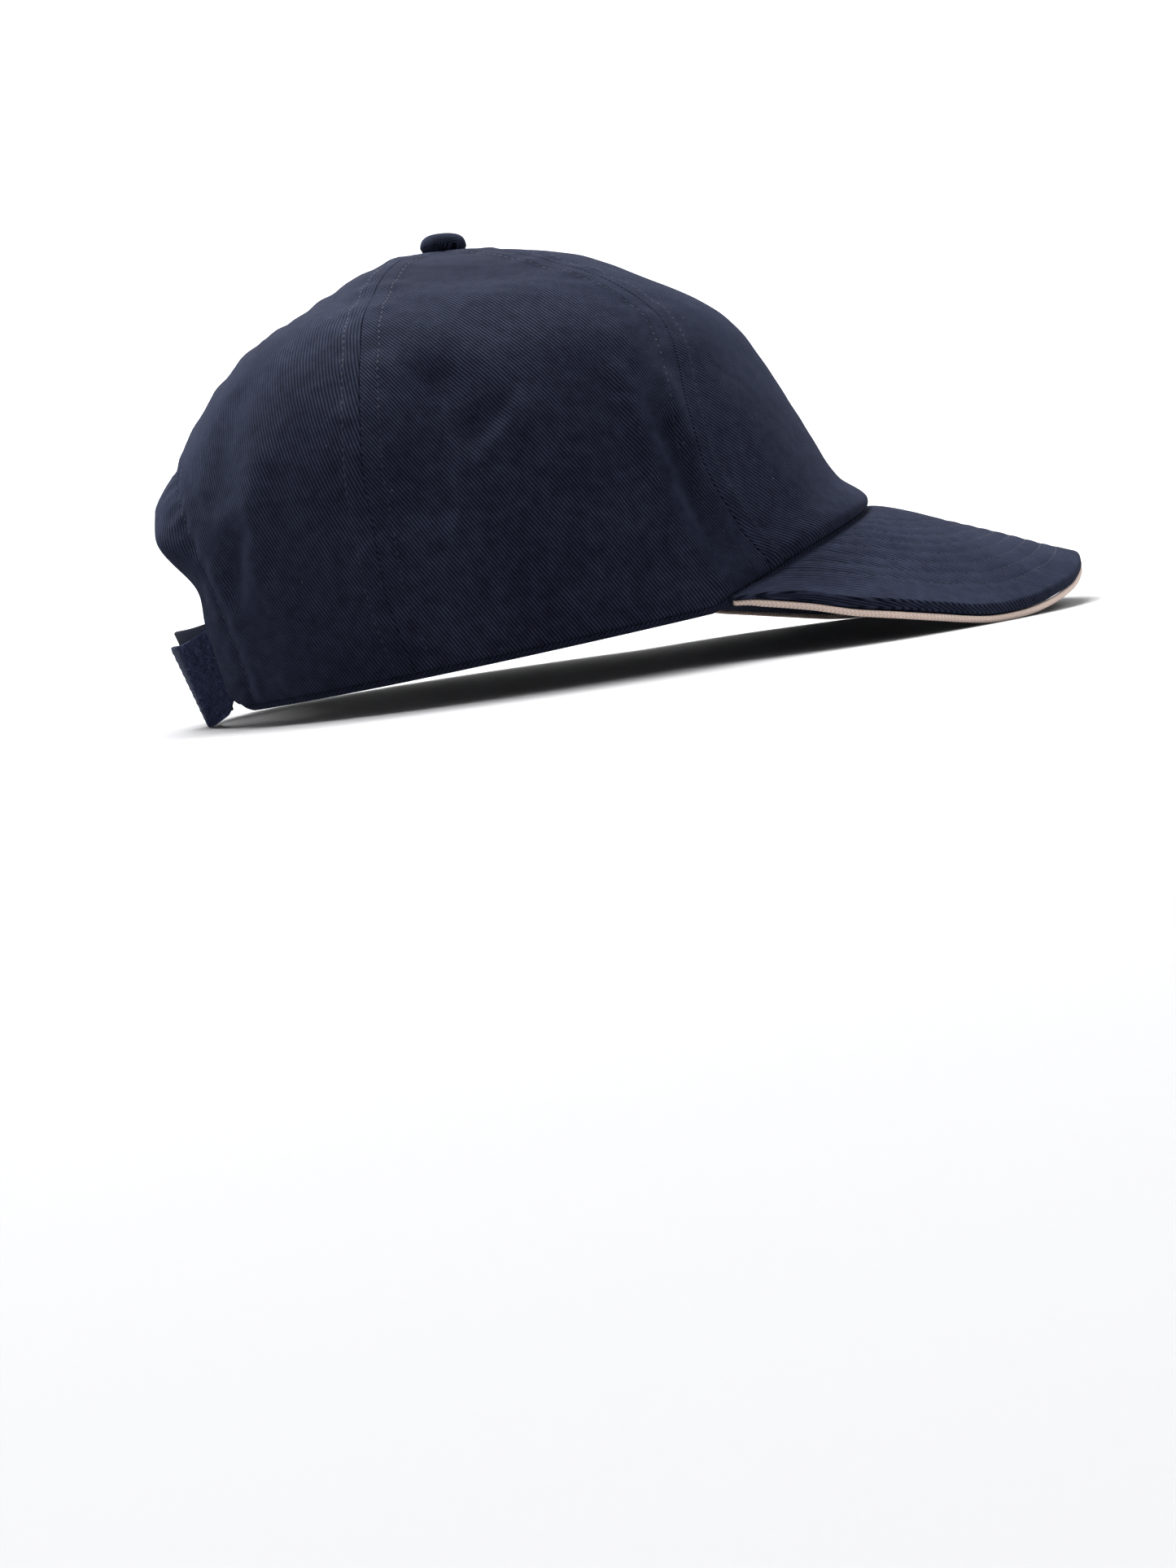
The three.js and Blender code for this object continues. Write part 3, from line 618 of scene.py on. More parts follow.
# %% Signals and finishes
class Signal:
    """A number that changes over the surface. Arithmetic on it adds Math nodes to its finish."""

    def __init__(self, finish, socket):
        self.finish, self.socket = finish, socket

    def math(self, operation, *values):
        return self.finish.node("ShaderNodeMath", {"operation": operation}, dict(enumerate(values)))

    def __add__(self, other):
        return self.math("ADD", self, other)

    def __sub__(self, other):
        return self.math("SUBTRACT", self, other)

    def __rsub__(self, other):
        return self.math("SUBTRACT", other, self)

    def __mul__(self, other):
        return self.math("MULTIPLY", self, other)

    def __truediv__(self, other):
        return self.math("DIVIDE", self, other)

    def __pow__(self, other):
        return self.math("POWER", self, other)

    def __gt__(self, other):
        return self.math("GREATER_THAN", self, other)

    def fraction(self):
        return self.math("FRACT", self)

    def whole(self):
        return self.math("FLOOR", self)

    def sine(self):
        return self.math("SINE", self)

    def size(self):
        return self.math("ABSOLUTE", self)

    def wave(self):
        """(sin(2 pi cycles) + 1) / 2, where the signal counts the cycles."""
        return (self * (2 * math.pi)).sine() * 0.5 + 0.5

    def clamped(self, low, high):
        """0 at or below low, 1 at or above high, straight between."""
        settings = {"interpolation_type": "LINEAR", "clamp": True}
        inputs = {"Value": self, "From Min": low, "From Max": high}
        return self.finish.node("ShaderNodeMapRange", settings, inputs, "Result")


class Finish:
    """A material under construction: a Principled shader and the nodes that feed it."""

    def __init__(self, name):
        self.material = bpy.data.materials.new(name)
        self.material.use_nodes = True
        self.tree = self.material.node_tree
        self.shader = self.tree.nodes["Principled BSDF"]

    def node(self, kind, settings=None, inputs=None, output=0):
        """A node of one kind: its settings first, then the values or links of its sockets."""
        node = self.tree.nodes.new(kind)
        for name, value in (settings or {}).items():
            setattr(node, name, value)
        for key, value in (inputs or {}).items():
            self.feed(node.inputs[key], value)
        return Signal(self, node.outputs[output])

    def feed(self, socket, value):
        """A link from a signal, or a plain value."""
        if isinstance(value, Signal):
            self.tree.links.new(value.socket, socket)
        else:
            socket.default_value = value

    def set(self, **values):
        """Sockets of the Principled shader by name, with spaces written as underscores."""
        for name, value in values.items():
            self.feed(self.shader.inputs[name.replace("_", " ")], value)

    def flat(self):
        """The piece's flat millimetres, x and y."""
        split = self.tree.nodes.new("ShaderNodeSeparateXYZ")
        self.feed(split.inputs[0], self.node("ShaderNodeUVMap", {"uv_map": "flat_mm"}))
        return [Signal(self, split.outputs[i]) for i in range(2)]

    def noise(self, scale, detail=2.0, roughness=0.5):
        """Cloudy noise of 0 to 1 with so many clouds to the metre."""
        place = self.node("ShaderNodeTexCoord", output="Object")
        inputs = {"Vector": place, "Scale": scale, "Detail": detail, "Roughness": roughness}
        return self.node("ShaderNodeTexNoise", {}, inputs)

    def blend(self, share, dark, light):
        """A colour between two, through a Mix node, because a Math node would turn it grey."""
        mixer = self.tree.nodes.new("ShaderNodeMix")
        mixer.data_type = "RGBA"
        self.feed(mixer.inputs[0], share)
        for socket, colour in ((mixer.inputs[6], dark), (mixer.inputs[7], light)):
            self.feed(socket, colour if isinstance(colour, Signal) else (*colour, 1))
        return Signal(self, mixer.outputs[2])

    def bump(self, height, distance):
        """A normal from a height of 0 to 1 that stands for so many metres."""
        inputs = {"Strength": 1.0, "Distance": distance, "Height": height}
        return self.node("ShaderNodeBump", {}, inputs, "Normal")

# %% [markdown]
# ## Brushed twill
# Twill shows as fine ribs that run at a slant across the panel. Each rib is a row of yarn floats, rounded
# across, and each float dips where it goes under. The ribs' tops are brushed and a little paler. The
# furrows and the dips carry painted shade, so they are dark, and wear and washing leave soft clouds and
# the odd fleck of lint.

# %% Twill
# The darkest navy is painted shade for the furrows and the dips under the floats.
NAVY_FURROW_SHADE = (0.0028, 0.0034, 0.0068)
NAVY_BODY = (0.0225, 0.0265, 0.048)
# The worn navy is wear, and where its share is raised, as on the button, it is painted light as well.
NAVY_WORN_AND_LIT = (0.048, 0.0575, 0.0925)
LINT = (0.2, 0.2, 0.22)
TWILL_RELIEF = 0.00022
RIB_SHAPE = 1.8
FLOAT_LENGTH = 0.6
FLOAT_STEP = 0.37
FLOAT_DIP = 0.42
LINT_SHARE = 0.3


def twill_finish(name, slant, pitch=0.89, lift=1.0, wear_and_light=0.5, napped=None):
    """Ribs at a slant in degrees from the row direction, down to the right, with a pitch in millimetres.

    Napped is a pair of lengths down the panel: above the first the ribs are mostly brushed away.
    """
    finish = Finish(name)
    x, y = finish.flat()
    turn = math.radians(slant)
    drift = finish.noise(55, 2) * 0.55 + finish.noise(420, 1) * 0.22
    across = (x * math.sin(turn) - y * math.cos(turn)) / pitch + drift
    along = (x * math.cos(turn) + y * math.sin(turn)) / (pitch * FLOAT_LENGTH)
    rib = 1 - ((across.fraction() - 0.5).size() * 2) ** RIB_SHAPE
    floats = (along + across.whole() * FLOAT_STEP).fraction()
    under = 1 - ((floats - 0.5).size() * 2) ** 4 * FLOAT_DIP
    uneven = finish.noise(300, 2, 0.6)
    yarn = rib * under * (uneven * 0.9 + 0.5)
    if napped:
        brushed = 1 - y.clamped(*napped)
        yarn = yarn * (1 - brushed * 0.7) + brushed * 0.34
    cloud = finish.noise(38, 3, 0.6)
    fuzz = finish.noise(2600, 2, 0.7)
    fleck = finish.noise(700, 1, 0.5).clamped(0.81, 0.83)
    # The tone follows the yarn's height, so the furrows and the dips under the floats carry painted shade.
    tone = (yarn * 1.05 + fuzz * 0.6 - 0.55).clamped(0.0, 1.0)
    base = finish.blend(tone, NAVY_FURROW_SHADE, NAVY_BODY)
    # Wear lies on the rib tops in soft clouds; where its share is raised above one, as on the button, it is
    # also painted light.
    rubbed_and_lit = (yarn * (cloud * 1.4 - 0.35)).clamped(0.1, 1.1) * wear_and_light
    colour = finish.blend(rubbed_and_lit, base, NAVY_WORN_AND_LIT)
    colour = finish.blend(fleck * LINT_SHARE, colour, LINT)
    height = yarn * 0.7 + fuzz * 0.3
    finish.set(Base_Color=colour, Roughness=0.86, Normal=finish.bump(height, TWILL_RELIEF * lift))
    finish.set(Sheen_Weight=0.06, Sheen_Roughness=0.4, Sheen_Tint=(0.4, 0.5, 0.9, 1))
    finish.set(Specular_IOR_Level=0.035, Specular_Tint=(0.35, 0.45, 1, 1))
    return finish.material


SIDE_TWILL = twill_finish("side_twill", 61, napped=(30, 44))
FRONT_TWILL = twill_finish("front_twill", 50, 0.95)
print("finishes:", SIDE_TWILL.name, FRONT_TWILL.name)

# %% [markdown]
# ## The six panels
# Each panel is a grid between two seams, from the small ring under the button down to the rim. The back
# panels are cut by the arch: below its top, their inner boundary follows the arch's half ellipse instead
# of the middle.

# %% Panels
VISUAL_GAP = 0.02
PANEL_GRID = (170, 130)
ARCH_SHARE = 0.6
ARCH_CORNER = 7.0
SEAM_EASE = 7.0
EASE_REACH = 15.0
COMMON_NORMALS = 1.5
PANEL_ROUNDING = 0.4


def arch_edge(turn, outside=0.0):
    """Azimuth and step of the arch's half ellipse, grown by a distance and laid on the crown.

    For an azimuth the step is found by halving intervals, and its ring then gives a better azimuth.
    """
    turn = np.asarray(turn, float)
    grow = 1 + outside / min(ARCH_HEIGHT, ARCH_HALF_WIDTH)
    height, across = ARCH_HEIGHT * grow * np.cos(turn), ARCH_HALF_WIDTH * grow * np.sin(turn)
    azimuth = np.full(turn.shape, math.pi)
    for _ in range(12):
        low, high = np.full(turn.shape, 0.3), np.ones(turn.shape)
        for _ in range(30):
            step = (low + high) / 2
            above = smooth_crown(azimuth, step)[..., 2] > height
            low, high = np.where(above, step, low), np.where(above, high, step)
        azimuth = math.pi - np.arcsin(across / ring_radius(azimuth, step))
    return azimuth, step


ARCH_TOP_STEP = arch_edge(np.zeros(1))[1][0]


def seam_boundary(name):
    """A seam as azimuth and step, from the button's ring at 0 to the rim at 1."""
    def at(v):
        step = mix(TOP_STEP, 1, v)
        return np.radians(seam_angle[name](step)), step

    return at


def middle_front(v):
    """The centre front as azimuth and step."""
    return 0 * v, mix(TOP_STEP, 1, v)


def middle_back(v):
    """The centre back down to the arch's top, then the arch's edge by equal turns."""
    azimuth, step = arch_edge(np.clip((v - ARCH_SHARE) / (1 - ARCH_SHARE), 0, 1) * math.pi / 2)
    height = np.maximum(0, smooth_crown(azimuth, step)[..., 2])
    azimuth = azimuth - quarter_round(height, ARCH_CORNER) / ring_radius(azimuth, step)
    above = v <= ARCH_SHARE
    down = mix(TOP_STEP, ARCH_TOP_STEP, v / ARCH_SHARE)
    return np.where(above, math.pi, azimuth), np.where(above, down, step)


def panel_places(side, start, end):
    """Azimuth and step of a panel's grid, each row mixed between its two boundaries."""
    rows, columns = PANEL_GRID
    v = crowded(rows, 0.55)[:, None]
    u = crowded(columns)[None, :]
    (start_angle, start_step), (end_angle, end_step) = start(v), end(v)
    start_angle = start_angle + VISUAL_GAP / 2 / ring_radius(start_angle, start_step)
    end_angle = end_angle - VISUAL_GAP / 2 / ring_radius(end_angle, end_step)
    return side * mix(start_angle, end_angle, u), mix(start_step, end_step, u)


# Each kind of panel: its two boundaries, its finish and the azimuth of its middle in degrees.
PANELS = {
    "front": (middle_front, seam_boundary("front"), FRONT_TWILL, 27),
    "side": (seam_boundary("front"), seam_boundary("rear"), SIDE_TWILL, 86),
    "back": (seam_boundary("rear"), middle_back, SIDE_TWILL, 148),
}


def make_panel(place, side_name, side):
    """One panel; at its edges it takes the smooth crown's normals, so that neighbours meet without a slit.

    A side panel's weave is eased towards its front seam, where the cloth was pulled round.
    """
    start, end, material, middle = PANELS[place]
    azimuth, step = panel_places(side, start, end)
    face = dressed_crown(azimuth, step)
    near_edge = 1 - smooth_step(0, COMMON_NORMALS, edge_distances(face))[..., None]
    outward = unit(mix(grid_normals(face), normals_of(smooth_crown, azimuth, step), near_edge))
    flat = flat_place(azimuth, step, side * math.radians(middle))
    if place == "side":
        gap = seam_distance(azimuth, step, lambda at: side * np.radians(seam_angle["front"](at)))
        flat[..., 0] -= side * SEAM_EASE * (1 - smooth_step(0, EASE_REACH, gap))
    name = f"{place}_panel_{side_name}"
    panel = cloth_sheet(name, face, PANEL_CLOTH, flat, outward, PANEL_ROUNDING)
    panel.data.materials.append(material)
    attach(panel, "root")
    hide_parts(f"panel_{place}_{side_name}")
    return panel


for side_name, side in (("right", -1), ("left", 1)):
    for place in PANELS:
        panel = make_panel(place, side_name, side)
        print(panel.name, len(panel.data.polygons), "faces")

# %% [markdown]
# ## The button
# A small metal dome covered in the same twill. The cloth is pulled over the edge and tucked under, so the
# ribs bend round with it. A profile turned about the axis gives the dome; the cloth's tucks are a few
# soft waves near the edge.

# %% Button
BUTTON_LEAN = math.radians(7)
BUTTON_EDGE = BUTTON_HEIGHT * 0.34
BUTTON_PROFILE = 0.45
BUTTON_BASE = 0.02
TUCK_COUNT = 9
TUCK_DEPTH = 0.07


def button_face(rows=44, columns=96):
    """Rings of radius r cos(turn)^profile and height edge + (top - edge) sin(turn), over a base ring."""
    turn = np.linspace(0, math.pi / 2, rows)[:, None]
    around = np.linspace(0, 2 * math.pi, columns, endpoint=False)[None, :]
    radius = BUTTON_RADIUS * np.cos(turn) ** BUTTON_PROFILE
    height = BUTTON_EDGE + (BUTTON_HEIGHT - BUTTON_EDGE) * np.sin(turn)
    waves = np.sin(around * TUCK_COUNT + 1.3 * np.sin(around * 2))
    tucks = TUCK_DEPTH * waves * (1 - turn / (math.pi / 2)) ** 2
    radius = radius * 0.99 + tucks
    tucked = BUTTON_RADIUS - BUTTON_EDGE / 2
    base = stack(tucked * np.cos(around), tucked * np.sin(around), BUTTON_BASE)
    dome = stack(radius * np.cos(around), radius * np.sin(around), height)
    return np.concatenate([base, dome[:-1]])


def make_button():
    """The dome leans forwards with the crown's top, about the middle of its base."""
    rings = button_face()
    lean = (math.cos(BUTTON_LEAN), math.sin(BUTTON_LEAN))
    leaned = np.array([[lean[0], 0, lean[1]], [0, 1, 0], [-lean[1], 0, lean[0]]])
    rows, columns = rings.shape[:2]
    points = np.concatenate([rings.reshape(-1, 3), [[0, 0, BUTTON_HEIGHT], [0, 0, BUTTON_BASE]]])
    points = points @ leaned.T + [0, 0, BUTTON_SEAT]
    index = np.arange(rows * columns).reshape(rows, columns)
    first, last = index[0], index[-1]
    top_fan = np.stack([last, np.roll(last, -1), np.full(columns, rows * columns)], -1)
    base_fan = np.stack([np.roll(first, -1), first, np.full(columns, rows * columns + 1)], -1)
    faces = tube_faces(index).tolist() + top_fan.tolist() + base_fan.tolist()
    spread = 1 + 0.9 * (1 - (points[:, 2:] - BUTTON_SEAT) / BUTTON_HEIGHT)
    return link_mesh("covered_button", at_rest(points), faces, points[:, :2] * spread)


button = make_button()
# The button's twill is a paler copy of the cloth: its wear share of 2.2 paints on the light that falls on its
# side, along with some wear.
button.data.materials.append(twill_finish("button_twill_painted_light", 20, 0.8, wear_and_light=2.2))
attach(button, "root")
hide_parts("button")
print("button", len(button.data.polygons), "faces")

# %% [markdown]
# ## The peak
# Its board is covered in twill above and below. The joint follows the rim and the outer edge is an
# ellipse whose ends are pulled in to the joint. Straight lines from joint to edge make the surface, a
# puff lifts its middle, and rows of stitching parallel to the edge press grooves into it.

# %% Peak surface
JOINT_INSET = PANEL_CLOTH - SEAM_GAP / 2
JOINT_DROP = 3 * SEAM_GAP
CORNER_LIFT = 1.5
PEAK_TOTAL = PEAK_UPPER + SEAM_GAP + PEAK_UNDER
CORNER_THICKNESS = 0.32
THINNING_REACH = 0.14
CORNER_PULL = 0.75
PUFF_RAMP = 0.05


def rim_point(azimuth):
    """The rim's place in plan."""
    return smooth_crown(azimuth, 1.0) * [1, 1, 0]


def outward_in_plan(azimuth, turn=0.01):
    """The direction in plan that is square to the rim."""
    ahead = rim_point(azimuth + turn) - rim_point(azimuth - turn)
    return unit(stack(ahead[..., 1], -ahead[..., 0], 0))


def peak_thinning(across):
    """The peak's thickness as a share: thin at its corners, whole a little further in."""
    inside = smooth_step(0, THINNING_REACH, 1 - np.abs(across))
    return CORNER_THICKNESS + (1 - CORNER_THICKNESS) * inside


def corner_lift(across):
    """The corners ride up under the crown's hem, over the last fifth of the way across."""
    return CORNER_LIFT * smooth_step(0.8, 1, np.abs(across))


def peak_joint(across):
    """The inner edge, under the crown's hem, from -1 at the right corner to 1 at the left."""
    azimuth = across * PEAK_END
    place = rim_point(azimuth) - outward_in_plan(azimuth) * JOINT_INSET
    return stack(place[..., 0], place[..., 1], rim_height(azimuth) - JOINT_DROP + corner_lift(across) / 2)


def peak_tip(across):
    """The outer edge: an ellipse in plan, pulled in to the joint's corner over its last part."""
    turn = np.abs(across) * PEAK_SWEEP
    centre = PEAK_SPREAD * CROWN_FRONT
    corner = peak_joint(across) + outward_in_plan(across * PEAK_END) * (JOINT_INSET + 2 * PIPING_RADIUS)
    pull = np.maximum(0, (np.abs(across) - CORNER_PULL) / (1 - CORNER_PULL)) ** 2
    x = mix(centre + (CROWN_FRONT + PEAK_REACH - centre) * np.cos(turn), corner[..., 0], pull)
    y = mix(np.sign(across) * PEAK_HALF_WIDTH * np.sin(turn), corner[..., 1], pull)
    height = PEAK_TOTAL * peak_thinning(across) - PEAK_DIP * edge_dip(np.abs(across))
    return stack(x, y, height + corner_lift(across))


def peak_span(across):
    """The length in plan from joint to tip."""
    return np.linalg.norm((peak_tip(across) - peak_joint(across))[..., :2], axis=-1)


def peak_outward(across):
    """The direction in plan from joint to tip."""
    return unit((peak_tip(across) - peak_joint(across)) * [1, 1, 0])


def peak_top(across, out):
    """A line from joint to tip, lifted by puff times (1 - exp(-out / ramp)) (1 - out)."""
    joint, tip = peak_joint(across), peak_tip(across)
    share = np.linalg.norm(tip - joint, axis=-1) / PEAK_REACH
    puff = PEAK_PUFF * share * (1 - np.exp(-out / PUFF_RAMP)) * (1 - out)
    place = mix(joint, tip, out[..., None])
    return place + stack(0, 0, puff)


print("peak, mm long in the middle:", round(float(peak_span(np.zeros(1))[0]), 1))

# %% [markdown]
# The rows of stitching keep their distance from the edge, so each point of the peak needs that distance.
# In plan it is the nearest of many points of the edge, measured for all grid points at once.

# %% Distance from the peak's edge
EDGE_ACROSS = np.linspace(-1, 1, 721)
EDGE_LINE = peak_tip(EDGE_ACROSS)
EDGE_RUN = run_lengths(EDGE_LINE)
EDGE_LENGTH = float(EDGE_RUN[-1])


def edge_gap(places):
    """Distance in plan to the nearest point of the edge, and the length along the edge there."""
    flat = places.reshape(-1, 3)[:, :2]
    nearest = np.empty(len(flat), int)
    gap = np.empty(len(flat))
    for part in np.array_split(np.arange(len(flat)), 40):
        distances = np.linalg.norm(flat[part, None] - EDGE_LINE[None, :, :2], axis=2)
        nearest[part] = distances.argmin(1)
        gap[part] = distances.min(1)
    return gap.reshape(places.shape[:-1]), EDGE_RUN[nearest].reshape(places.shape[:-1])


print("peak's edge, mm long:", round(EDGE_LENGTH))

# %% [markdown]
# Rows of stitching press grooves into the cloth, and the padding rises between them. The rows are numbered
# from the edge inwards, so a groove lies wherever the number is whole.

# %% Stitched rows and layers
ROW_COUNT = 8
ROW_SPACING = 4.3
FIRST_ROW_SIDE = 12.3
FIRST_ROW_FRONT = 6.5
FIRST_ROW_SWING = (35, 100)
ROW_DEPTH = 0.16
ROW_DEPTH_CHANGE = 0.05
ROW_WIDTH = 0.5
CUSHION_HEIGHT = 0.07
PEAK_UNEVEN = 0.12


def row_number(gap, along):
    """(gap - first row's gap) / spacing, so 0 on the first row, which lies further in at the sides."""
    corner = np.minimum(along, EDGE_LENGTH - along)
    first = mix(FIRST_ROW_SIDE, FIRST_ROW_FRONT, smooth_step(*FIRST_ROW_SWING, corner))
    return (gap - first) / ROW_SPACING


def row_relief(gap, along):
    """Grooves on whole row numbers, cushions between them and a light pucker along them."""
    number = row_number(gap, along)
    inside = smooth_step(-0.6, -0.1, number) * (1 - smooth_step(ROW_COUNT - 0.9, ROW_COUNT - 0.4, number))
    off = (number - np.round(number)) * ROW_SPACING
    depth = ROW_DEPTH + ROW_DEPTH_CHANGE * ripple(along, np.round(number) * 7, 6, 40)
    cushion = CUSHION_HEIGHT * np.cos(number * 2 * math.pi + math.pi)
    return inside * (cushion - depth * bell(off, ROW_WIDTH))


def dressed_peak(across, out):
    """The top with its rows and unevenness, which both fade out at the joint and the corners."""
    place = peak_top(across, out)
    gap, along = edge_gap(place)
    inland = smooth_step(0.0, 0.12, out) * smooth_step(0.03, 0.2, 1 - np.abs(across))
    uneven = PEAK_UNEVEN * ripple(place[..., 0], place[..., 1], 21, 31)
    lift = row_relief(gap, along) * inland + uneven * inland
    return place + stack(0, 0, lift)


PEAK_GRID = (110, 360)


def make_peak_layer(name, limit, inset, below, thickness, rounding, relief):
    """One layer of the peak: from the joint out to the edge less an inset, some depth below the top."""
    rows, columns = PEAK_GRID
    across = mix(-limit, limit, crowded(columns, 0.3))[None, :] + np.zeros((rows, 1))
    reach = 1 - inset / peak_span(across)
    out = crowded(rows, 0.7)[:, None] * reach
    surface = dressed_peak if relief else peak_top
    top = surface(across, out)
    thin = peak_thinning(across)
    face = top - stack(0, 0, below * thin + (SEAM_GAP if below else 0))
    down = stack(0, 0, 1.0) + 0 * face
    depth = (thickness * (thin if not below else 1 + 0 * thin))[..., None]
    radius = np.minimum(rounding, 0.45 * depth[..., 0])
    curl = quarter_round(edge_distances(face), radius)[..., None] * down
    points = np.concatenate([(face - curl).reshape(-1, 3), (face - depth * down + curl).reshape(-1, 3)])
    flat = face[..., [1, 0]] * [1, -1]
    wall = peak_outward(across)[..., [1, 0]] * [1, -1] * thickness
    coordinates = np.concatenate([flat.reshape(-1, 2), (flat + wall).reshape(-1, 2)])
    return make_mesh(name, points, sheet_faces(rows, columns), coordinates)


PEAK_TWILL = twill_finish("peak_twill", 82, 0.86, wear_and_light=0.75)
peak_cover = make_peak_layer("peak_cover", 1, 0, 0, PEAK_UPPER, 0.7, True)
peak_cover.data.materials.append(PEAK_TWILL)
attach(peak_cover, "root")
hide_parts("peak_upper")

PIPING_INSET = PIPING_RADIUS + SEAM_GAP / 2
peak_underside = make_peak_layer(
    "peak_underside", 0.9, PIPING_INSET + PIPING_RADIUS + SEAM_GAP, PEAK_UPPER, PEAK_UNDER, 0.5, False
)
peak_underside.data.materials.append(PEAK_TWILL)
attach(peak_underside, "root")
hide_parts("peak_lower")
print("peak layers", len(peak_cover.data.polygons), len(peak_underside.data.polygons), "faces")

# %% [markdown]
# ## Piping
# A cord in a bias-cut cream cover, sewn in between the two layers. A round section carried along the edge
# makes it. The cover's fine ribs cross it at a slant; they are both in the shape, as shallow waves, and
# in the finish.

# %% Piping
RIB_PITCH = 1.1
RIB_SLANT = 5.97
RIB_HEIGHT = 0.035
CREAM_DARK = (0.47, 0.33, 0.27)
CREAM_PALE = (0.8, 0.66, 0.58)
CREAM_STAIN = (0.5, 0.4, 0.36)


def round_bar(name, centres, outward, radii, sides, ribs=None):
    """Rings about the centres in the planes of outward and up, joined end to end and closed by fans."""
    turn = np.arange(sides) / sides * 2 * math.pi
    length = run_lengths(centres)
    radius = radii[:, None] + (0 if ribs is None else ribs(length[:, None], turn[None, :]))
    ring = outward[:, None, :] * (radius * np.cos(turn))[..., None] + stack(0, 0, radius * np.sin(turn))
    points = (centres[:, None, :] + ring).reshape(-1, 3)
    index = np.arange(len(points)).reshape(-1, sides)
    quads = tube_faces(index)
    if signed_volume(points, quads) < 0:
        quads = quads[:, ::-1]
    ends = [index[0].tolist(), index[-1][::-1].tolist()]
    if first_cap_faces_in(points, ends[0], centres[1] - centres[0]):
        ends = [end[::-1] for end in ends]
    flat = np.stack(np.broadcast_arrays(length[:, None], radii[:, None] * turn[None, :]), -1)
    return link_mesh(name, at_rest(points), quads.tolist() + ends, flat.reshape(-1, 2))


def first_cap_faces_in(points, cap, along):
    """Whether the cap's own normal points the same way as the line that leaves it."""
    a, b, c = points[cap[0]], points[cap[1]], points[cap[2]]
    return np.dot(np.cross(b - a, c - b), along) > 0


def piping_line(count=900, limit=0.998):
    """Centres below the upper layer's edge, outward directions and radii, thinner at the corners."""
    across = np.linspace(-limit, limit, count)
    radius = PIPING_RADIUS * np.minimum(1, peak_thinning(across) + 0.4)
    centre = peak_tip(across) - peak_outward(across) * PIPING_INSET
    drop = PEAK_UPPER * peak_thinning(across) + SEAM_GAP * 0.4 + radius
    return centre - stack(0, 0, drop), peak_outward(across), radius


def cover_ribs(length, turn):
    """Height times sin(2 pi length / pitch + turn), a wave that winds round the cord."""
    return RIB_HEIGHT * np.sin(2 * math.pi * length / RIB_PITCH + turn)


def cream_finish():
    """Cream cotton with paler ribs and a few soft stains."""
    finish = Finish("cream_cord")
    x, y = finish.flat()
    rib = (x / RIB_PITCH + y / RIB_SLANT).wave()
    fuzz = finish.noise(1500, 2, 0.6)
    stain = finish.noise(60, 2, 0.5)
    colour = finish.blend(rib * 0.6 + fuzz * 0.4, CREAM_DARK, CREAM_PALE)
    colour = finish.blend(stain.clamped(0.45, 0.75) * 0.35, colour, CREAM_STAIN)
    finish.set(Base_Color=colour, Roughness=0.8, Normal=finish.bump(rib * 0.7 + fuzz * 0.3, 0.00008))
    finish.set(Sheen_Weight=0.2, Specular_IOR_Level=0.3)
    return finish.material


piping = round_bar("peak_piping_cord", *piping_line(), 14, cover_ribs)
piping.data.materials.append(cream_finish())
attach(piping, "root")
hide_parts("peak_piping")
print("piping", len(piping.data.polygons), "faces")

# %% [markdown]
# ## Sweatband
# A folded band inside the rim. Only its rolled lower edge shows from outside, a strip of two millimetres
# under the crown's hem; its inside shows from below and through the arch.

# %% Sweatband
def back_azimuth(across):
    """The azimuth at the back whose rim point lies that far across, by interpolation."""
    turns = np.linspace(0, math.pi / 2, 2001)
    return math.pi - np.interp(np.abs(across), rim_point(math.pi - turns)[:, 1], turns)


BAND_END = float(back_azimuth(ARCH_HALF_WIDTH + STRAP_TUCK + 2 * SEAM_GAP))
BAND_INSET = PANEL_CLOTH + 0.4
ROLL_RADIUS = 1.15
ROLL_INSET = BAND_INSET - 0.3
ROLL_CLIMB = math.radians(70)


def band_face(rows=46, columns=420):
    """The band's outer face, inside the crown from its top edge down, then straight down to the roll."""
    side_heights = smooth_crown(math.pi / 2, LENGTH_STEPS)[:, 2]
    top = np.interp(SWEATBAND_SHOWN - SWEATBAND_HEIGHT, -side_heights, LENGTH_STEPS)
    azimuth = mix(-BAND_END, BAND_END, np.linspace(0, 1, columns))[None, :]
    step = mix(top, 1, np.linspace(0, 1, rows - 8))[:, None]
    body = smooth_crown(azimuth, step)
    outward = normals_of(smooth_crown, azimuth, step)
    body = body + (fold_height(azimuth, step) + flare_height(body))[..., None] * outward
    body = body - BAND_INSET * outward
    edge = rim_point(azimuth) - outward_in_plan(azimuth) * BAND_INSET
    skirt = np.repeat(edge, 8, axis=0)
    lowered = np.linspace(0, 1, 9)[1:, None, None]
    skirt[..., :2] = mix(body[-1:, :, :2], edge[..., :2], lowered)
    skirt[..., 2] = mix(body[-1:, :, 2], rim_height(azimuth) - ROLL_RADIUS, lowered[..., 0])
    return np.concatenate([body, skirt]), azimuth


band, band_azimuth = band_face()
band_down = np.linspace(0, SWEATBAND_HEIGHT, len(band))[:, None]
band_flat = np.stack(np.broadcast_arrays(band_azimuth * 90, band_down), -1)
sweatband = cloth_sheet("sweatband_cloth", band, SWEATBAND_CLOTH, band_flat, grid_normals(band), 0.7)
sweatband.data.materials.append(twill_finish("band_twill", 48, 0.6, 0.6, 0.35))
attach(sweatband, "root")
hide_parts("sweatband")


